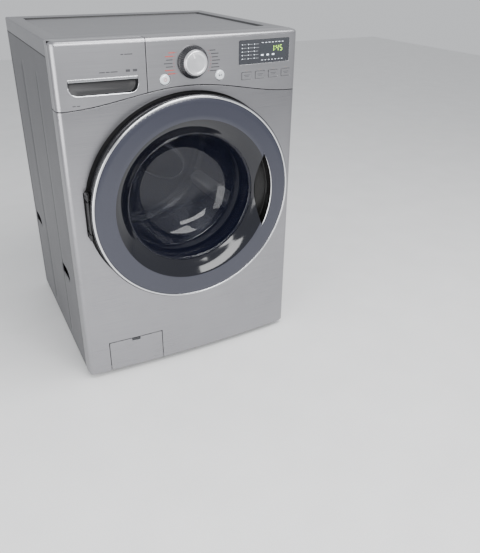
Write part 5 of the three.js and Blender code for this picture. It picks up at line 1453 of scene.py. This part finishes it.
def drum_tile():
    """A flat square cell, one wide, with an eight-sided hole."""
    ring = [(0.5, 0.0), (0.5, 0.5), (0.0, 0.5), (-0.5, 0.5)]
    ring += [(-x, -y) for x, y in ring]
    verts = [(x * 1000, y * 1000, 0) for x, y in ring + circle(0.15, count=8)]
    return verts, [(k, (k + 1) % 8, 8 + (k + 1) % 8, 8 + k) for k in range(8)]


def drum_box():
    """Radius of the drum and where it starts and ends, front to back."""
    lo, hi = corners("drum")
    return (hi[0] - lo[0]) / 2, lo[1], hi[1]


def drum_wall():
    """The perforated wall, with the pitch of its holes from the panel."""
    radius, y0, y1 = drum_box()
    margin = 16
    length = y1 - y0 - 2 * margin
    pitch = bpy.context.scene.washer_sizes.hole_pitch * 1000
    tile = mesh_object("tile", drum_tile(), "drum_steel")
    start = mesh_object("field", ([(0, 0, 0)], []), "drum_steel")
    values = {
        "Tile": tile,
        "Round": round(2 * math.pi * radius / pitch),
        "Along": round(length / pitch),
        "Radius": (radius - 0.8) * 0.001,
        "Length": length * 0.001,
        "Sheet": 0.0007,
    }
    made = rolled_tree()
    wall = baked("drum_wall", start, tile, made, values, "drum_steel", "drum_group", ["drum"])
    wall.data.transform(Matrix.Translation((0, (y0 + margin) * 0.001, DOOR_Z * 0.001)))
    tidy_mesh(wall.data, merge=False)


def drum_front():
    """The drum's rolled front, round its mouth."""
    radius, y0, _ = drum_box()
    front = [
        (radius, y0 + 16.4),
        (radius, y0, 10),
        (radius - 50, y0, 6),
        (radius - 58, y0 + 4, 5),
        (200, y0 + 4, 6),
        (192, y0, 3),
        (190.6, y0 + 5, 2),
        (193, y0 + 9, 2),
        (201, y0 + 5.5, 5),
        (radius - 57, y0 + 5.5, 5),
        (radius - 49, y0 + 1.5, 6),
        (radius - 1.6, y0 + 1.5, 9),
        (radius - 1.6, y0 + 16.4),
    ]
    piece("drum_front", turned(front, (0, DOOR_Z), 160), "drum_steel", "drum_group")


def star_edge(a):
    """How far the raised star of three arms reaches at that angle."""
    return STAR_IN + STAR_OUT * (0.5 + 0.5 * math.cos(3 * (a - math.pi / 2))) ** 1.6


def drum_back():
    """The pressed back with its star, the ridge along the star's edge, the hub and the rim."""
    radius, _, y1 = drum_box()
    back_y = y1 - 14

    def star(r, a):
        rise = 1 / (1 + math.exp((r - star_edge(a)) / 3.2))
        dome = max(0.0, 1 - (r / 52) ** 2) * 9
        rings = 1.6 * math.exp(-(((r - radius + 34) / 7) ** 2))
        ridge = 2.2 * math.exp(-(((r - star_edge(a)) / 7) ** 2))
        return 11 * rise * min(1.0, max(0.0, (r - 18) / 30 + 0.4)) + ridge + dome + rings

    steps = [0.0, 8, 16, *np.linspace(24, radius - 14, 72)]
    sheet = [(r, 0.0) for r in steps] + [(r, 1.4) for r in reversed(steps)]

    def pressed(a, r, layer):
        return r, back_y - star(r, a) + layer

    line = []
    for k in range(241):
        a = 2 * math.pi * k / 240
        r = star_edge(a)
        line.append((r * math.cos(a), back_y - star(r, a) - 0.4, DOOR_Z + r * math.sin(a)))
    piece("drum_ridge", tube(line, lambda t: 2.6, 8), "drum_steel", "drum_group", angle=60)
    hub_y = back_y - star(0.0, 0.0)
    hub = [(0, hub_y - 5), (16, hub_y - 4, 6), (24, hub_y + 3, 4), (24, hub_y + 6), (0, hub_y + 6)]
    piece("drum_hub", turned(hub, (0, DOOR_Z), 64), "drum_steel", "drum_group")
    shape = turned(sheet, (0, DOOR_Z), 180, bend=pressed)
    # The back is drum steel painted darker: painted shade deep in the drum.
    piece("drum_star", shape, "drum_steel", "drum_group", look="drum_back", angle=60)
    rim = [(radius - 15, y1 - 14), (radius - 1.6, y1 - 14, 3), (radius - 1.6, y1 - 16.4)]
    rim += [(radius, y1 - 16.4), (radius, y1, 8), (radius - 15, y1, 3)]
    piece("drum_rim", turned(rim, (0, DOOR_Z), 160), "drum_steel", "drum_group")


def lifters():
    """Three hollow-backed vanes inside the drum, higher in the middle than at their ends."""
    radius = drum_box()[0] - 1.7
    y0, y1 = -179.0, 187.0
    steps, sides = 40, 20
    turns = [2 * k / sides - 1 for k in range(sides + 1)]
    for n, degrees in enumerate((90, 210, 330), 1):
        a = math.radians(degrees)
        out = Vector((math.cos(a), 0, math.sin(a)))
        across = Vector((-out.z, 0, out.x))
        rows = []
        for i in range(steps + 1):
            v = i / steps
            seat = Vector((0, y0 + (y1 - y0) * v, DOOR_Z))
            ends = min(1.0, 6 * min(v, 1 - v)) ** 0.5
            wide = 30 * (0.86 + 0.14 * ends)
            row = []
            for u in turns:
                swell = max(0.0, math.cos(u * math.pi / 2)) ** 0.75 if abs(u) < 1 else 0.0
                height = 47 * swell * ends * (1 + 0.03 * math.cos(v * math.pi * 10))
                depth = math.sqrt(radius**2 - (u * wide) ** 2) - height
                row.append(tuple(seat + out * depth + across * (u * wide * (1 - 0.35 * swell))))
            for u in turns[-2:0:-1]:
                depth = math.sqrt(radius**2 - (u * 28) ** 2)
                row.append(tuple(seat + out * depth + across * (u * 28)))
            rows.append(row)
        stands_for = [f"lifter_{n}"]
        vane = loft(rows)
        piece(f"lifter_{n}_vane", vane, "lifter_plastic", "drum_group", stands_for, angle=60)


def spring_coils():
    """The two wound springs that the tub hangs on."""
    turns, per = 11, 20
    for name in ("left", "right"):
        node = f"spring_{name}"
        lo, hi = corners(node)
        cx, cy = (lo[0] + hi[0]) / 2, (lo[1] + hi[1]) / 2
        z0, z1 = lo[2] + 8, hi[2] - 8
        path = [(cx, cy, lo[2] + 2.4), (cx, cy, z0)]
        for k in range(turns * per + 1):
            t = k / (turns * per)
            a = 2 * math.pi * turns * t
            r = 13.4 * min(1.0, 12 * min(t, 1 - t))
            path.append((cx + r * math.cos(a), cy + r * math.sin(a), z0 + (z1 - z0) * t))
        path += [(cx, cy, z1 + 0.5), (cx, cy, hi[2] - 2.4)]
        shape = tube(path, lambda t: 2.3, 8)
        bending(f"{node}_coil", shape, "spring_steel", node, (cx, cy, hi[2]), (cx, cy, lo[2]), 60)


def sump_bellows():
    """The hose from the tub's sump to the pump, ribbed."""
    lo, hi = corners("sump_hose")
    wide, ribs, steps = 23.0, 17, 150
    low_end = Vector((lo[0] + wide, lo[1] + wide, lo[2]))
    high_end = Vector((hi[0] - wide, hi[1] - wide, hi[2]))
    rise = Vector((0, 0, (hi[2] - lo[2]) * 0.5))
    path = []
    for k in range(steps + 1):
        t = k / steps
        u = 1 - t
        lower = low_end * u**3 + (low_end + rise) * 3 * u * u * t
        path.append(lower + (high_end - rise) * 3 * u * t * t + high_end * t**3)

    def radius(t):
        ends = min(1.0, 10 * min(t, 1 - t))
        return 20.6 + 1.8 * ends * math.cos(2 * math.pi * ribs * t)

    shape = tube(path, radius, 28)
    bending("sump_bellows", shape, "foot_rubber", "sump_hose", low_end, high_end, 70)


def inlet_threads():
    """Screw threads and red and blue collars on the water inlets."""
    lo, hi = corners("inlet_valve")
    z = (lo[2] + hi[2]) / 2
    for label, x in (("cold", lo[0] + 25), ("hot", hi[0] - 25)):
        line = [(13.0, BACK + 12)]
        for k in range(12):
            y = BACK + 13 + k * 2.6
            line += [(13.3, y), (14.6, y + 1.3)]
        line += [(13.3, hi[1] - 1), (13.0, hi[1] - 1)]
        threads = turned(line, (x, z), 48)
        piece(f"inlet_thread_{label}", threads, "white_plastic", "cabinet")
        ring = [(13.0, BACK + 1), (17, BACK + 1, 1), (17, BACK + 6, 1.5), (13.0, BACK + 8)]
        collar, look = turned(ring, (x, z), 48), f"collar_{label}"
        piece(f"inlet_collar_{label}", collar, "white_plastic", "cabinet", look=look)


# ---------------------------------------------------------------- stage

# Lamps: place in metres, width and height.
LAMPS = {
    "key": ((-0.08, -2.6, 1.84), 2.0, 0.8),
    "over": ((0.75, -1.15, 2.9), 1.7, 1.7),
    "fill": ((-2.3, -1.25, 0.75), 2.0, 2.0),
}
LAMP_TARGET = Vector((0, 0, 0.5))
DRUM_LAMP = (0.02, -0.10, 0.62)
WORLD_STRENGTH = 0.72
CAMERA_PLACE = (-0.610, -1.764, 1.166)
CAMERA_TURN, CAMERA_TILT, CAMERA_ROLL = map(math.radians, (-27.926, 26.584, 0.586))
CAMERA_LENS = 37.68
CAMERA_SHIFT = (0.0076, -0.0575)


def floor_and_world():
    """A wide pale floor and an even light from all sides."""
    s = 6000
    square = [(-s, -s, 0), (s, -s, 0), (s, s, 0), (-s, s, 0)], [(0, 1, 2, 3)]
    mesh_object("floor", square, "floor_pale")
    world = bpy.data.worlds.new("Soft studio")
    world.use_nodes = True
    sky = world.node_tree.nodes["Background"]
    feed(world.node_tree, sky, {"Color": (0.95, 0.97, 1.0, 1), "Strength": WORLD_STRENGTH})
    bpy.context.scene.world = world


def lamps():
    """Three wide lamps round the machine and a small one inside the drum."""
    light = bpy.context.scene.washer_light
    for name, (place, wide, high) in LAMPS.items():
        data = bpy.data.lights.new(name.capitalize(), "AREA")
        data.energy = getattr(light, name)
        data.shape = "RECTANGLE"
        data.size = wide
        data.size_y = high
        obj = bpy.data.objects.new(data.name, data)
        obj.location = place
        obj.rotation_euler = (LAMP_TARGET - Vector(place)).to_track_quat("-Z", "Y").to_euler()
        bpy.context.scene.collection.objects.link(obj)
    data = bpy.data.lights.new("Drum", "POINT")
    data.energy = light.drum
    data.shadow_soft_size = 0.05
    obj = bpy.data.objects.new("Drum", data)
    obj.location = DRUM_LAMP
    bpy.context.scene.collection.objects.link(obj)


def camera():
    """The camera, turned about the machine, tilted down and rolled a little."""
    turn, tilt = CAMERA_TURN, CAMERA_TILT
    flat = Vector((math.sin(turn), -math.cos(turn), 0)) * math.cos(tilt)
    back = flat + Vector((0, 0, math.sin(tilt)))
    right = Vector((math.cos(turn), math.sin(turn), 0))
    up = back.cross(right)
    rolled_right = right * math.cos(CAMERA_ROLL) + up * math.sin(CAMERA_ROLL)
    rolled_up = up * math.cos(CAMERA_ROLL) - right * math.sin(CAMERA_ROLL)
    data = bpy.data.cameras.new("Camera")
    data.lens = CAMERA_LENS
    data.shift_x, data.shift_y = CAMERA_SHIFT
    data.dof.use_dof = False
    obj = bpy.data.objects.new("Camera", data)
    matrix = Matrix((rolled_right, rolled_up, back)).transposed().to_4x4()
    matrix.translation = CAMERA_PLACE
    obj.matrix_world = matrix
    bpy.context.scene.collection.objects.link(obj)
    bpy.context.scene.camera = obj


def inner_finishes():
    """Finishes and soft shading for every frame node that still shows."""
    tree, names = shading_tree()
    slots = {entry["node"]: entry["material_slot"] for entry in frame["record"]["subparts"]}
    for name, obj in frame["nodes"].items():
        if obj.hide_render:
            continue
        hinge = name in ("door_hinge_bracket", "door_hinge_arm")
        look = finish("hinge_black" if hinge else slots[name])
        for k in range(len(obj.data.materials)):
            obj.data.materials[k] = look
        if not obj.data.materials:
            obj.data.materials.append(look)
        modifier = obj.modifiers.new("Soft shading", "NODES")
        modifier.node_group = tree
        modifier[names["Sharp Angle"]] = math.radians(35)


# ---------------------------------------------------------------- add-on


class WasherSizes(bpy.types.PropertyGroup):
    """Sizes of what repeats."""

    hole_pitch: bpy.props.FloatProperty(
        name="Hole pitch",
        description="Distance between the drum's holes",
        default=0.020,
        min=0.012,
        max=0.05,
        unit="LENGTH",
    )


def colour_of(slot, name, description):
    """A colour that a user can change, with the slot's own colour as its default."""
    return bpy.props.FloatVectorProperty(
        name=name,
        description=description,
        default=FINISHES[slot][0],
        min=0.0,
        max=1.0,
        subtype="COLOR",
    )


class WasherColours(bpy.types.PropertyGroup):
    """Colours of what shows most."""

    front_steel: colour_of("front_steel", "Front", "Brushed sheet around the door")
    fascia_silver: colour_of("fascia_silver", "Control panel", "Control panel and drawer front")
    casing_grey: colour_of("casing_grey", "Sides", "Painted side sheets")
    top_grey: colour_of("top_grey", "Top", "Painted top plate")
    ring_tint: colour_of("ring_tint", "Door ring", "Tinted ring around the door's glass")
    trim_chrome: colour_of("trim_chrome", "Trim", "Bright edge of the door")


class WasherLight(bpy.types.PropertyGroup):
    """Strength of the studio's lamps."""

    key: bpy.props.FloatProperty(
        name="Key", description="Wide lamp ahead and above", default=56.0, unit="POWER"
    )
    over: bpy.props.FloatProperty(
        name="Over", description="Large lamp above", default=75.0, unit="POWER"
    )
    fill: bpy.props.FloatProperty(
        name="Edge", description="Low lamp at the left", default=58.0, unit="POWER"
    )
    drum: bpy.props.FloatProperty(
        name="Drum", description="Small lamp inside the drum", default=1.3, unit="POWER"
    )


class WASHER_OT_front(bpy.types.Operator):
    """Build the bowed steel front with its door recess and service cover"""

    bl_idname = "washer.front"
    bl_label = "Front"

    def execute(self, context):
        front_skin()
        door_recess()
        service_door()
        return {"FINISHED"}


class WASHER_OT_casing(bpy.types.Operator):
    """Build the sides, the top, the back and the feet"""

    bl_idname = "washer.casing"
    bl_label = "Casing"

    def execute(self, context):
        side_sheet(-1)
        side_sheet(1)
        top_cover()
        back_sheet()
        inlet_threads()
        feet()
        return {"FINISHED"}


class WASHER_OT_fascia(bpy.types.Operator):
    """Build the control panel's cover and the bay for the drawer"""

    bl_idname = "washer.fascia"
    bl_label = "Control panel"

    def execute(self, context):
        fascia()
        return {"FINISHED"}


class WASHER_OT_drawer(bpy.types.Operator):
    """Build the drawer's front with its finger pocket"""

    bl_idname = "washer.drawer"
    bl_label = "Drawer front"

    def execute(self, context):
        drawer_face()
        drawer_pocket()
        drawer_lips()
        drawer_marks()
        return {"FINISHED"}


class WASHER_OT_display(bpy.types.Operator):
    """Build the display"""

    bl_idname = "washer.display"
    bl_label = "Display"

    def execute(self, context):
        display()
        return {"FINISHED"}


class WASHER_OT_controls(bpy.types.Operator):
    """Build the dial, the buttons and the keys"""

    bl_idname = "washer.controls"
    bl_label = "Dial and buttons"

    def execute(self, context):
        keys()
        buttons()
        dial()
        dial_marks()
        return {"FINISHED"}


class WASHER_OT_door(bpy.types.Operator):
    """Build the door and its gasket"""

    bl_idname = "washer.door"
    bl_label = "Door"

    def execute(self, context):
        door_face()
        door_grip()
        door_shell()
        gasket()
        return {"FINISHED"}


class WASHER_OT_drum(bpy.types.Operator):
    """Build the perforated drum, its lifters and the springs that hang the tub"""

    bl_idname = "washer.drum"
    bl_label = "Drum"

    def execute(self, context):
        drum_wall()
        drum_front()
        drum_back()
        lifters()
        spring_coils()
        sump_bellows()
        return {"FINISHED"}


class WASHER_OT_finishes(bpy.types.Operator):
    """Give every inner part of the frame its finish"""

    bl_idname = "washer.finishes"
    bl_label = "Inner finishes"

    def execute(self, context):
        inner_finishes()
        return {"FINISHED"}


class WASHER_OT_stage(bpy.types.Operator):
    """Set the floor, the lamps and the camera"""

    bl_idname = "washer.stage"
    bl_label = "Stage"

    def execute(self, context):
        floor_and_world()
        lamps()
        camera()
        return {"FINISHED"}


OPERATORS = (
    WASHER_OT_front,
    WASHER_OT_casing,
    WASHER_OT_fascia,
    WASHER_OT_drawer,
    WASHER_OT_display,
    WASHER_OT_controls,
    WASHER_OT_door,
    WASHER_OT_drum,
    WASHER_OT_finishes,
    WASHER_OT_stage,
)


class WASHER_PT_panel(bpy.types.Panel):
    """Steps and sizes of the washing machine"""

    bl_idname = "WASHER_PT_panel"
    bl_label = "Washing machine"
    bl_space_type = "VIEW_3D"
    bl_region_type = "UI"
    bl_category = "Washer"

    def draw(self, context):
        sizes, light = context.scene.washer_sizes, context.scene.washer_light
        self.layout.prop(sizes, "hole_pitch")
        for name in WasherColours.__annotations__:
            self.layout.prop(context.scene.washer_colours, name)
        for name in WasherLight.__annotations__:
            self.layout.prop(light, name)
        for operator in OPERATORS:
            self.layout.operator(operator.bl_idname)


CLASSES = (WasherSizes, WasherColours, WasherLight, *OPERATORS, WASHER_PT_panel)


def register():
    for cls in CLASSES:
        bpy.utils.register_class(cls)
    bpy.types.Scene.washer_sizes = bpy.props.PointerProperty(type=WasherSizes)
    bpy.types.Scene.washer_colours = bpy.props.PointerProperty(type=WasherColours)
    bpy.types.Scene.washer_light = bpy.props.PointerProperty(type=WasherLight)


def unregister():
    del bpy.types.Scene.washer_light
    del bpy.types.Scene.washer_colours
    del bpy.types.Scene.washer_sizes
    for cls in reversed(CLASSES):
        bpy.utils.unregister_class(cls)


def main():
    """Runs every operator in order."""
    register()
    for operator in OPERATORS:
        group, name = operator.bl_idname.split(".")
        getattr(getattr(bpy.ops, group), name)()


if __name__ == "__main__":
    main()
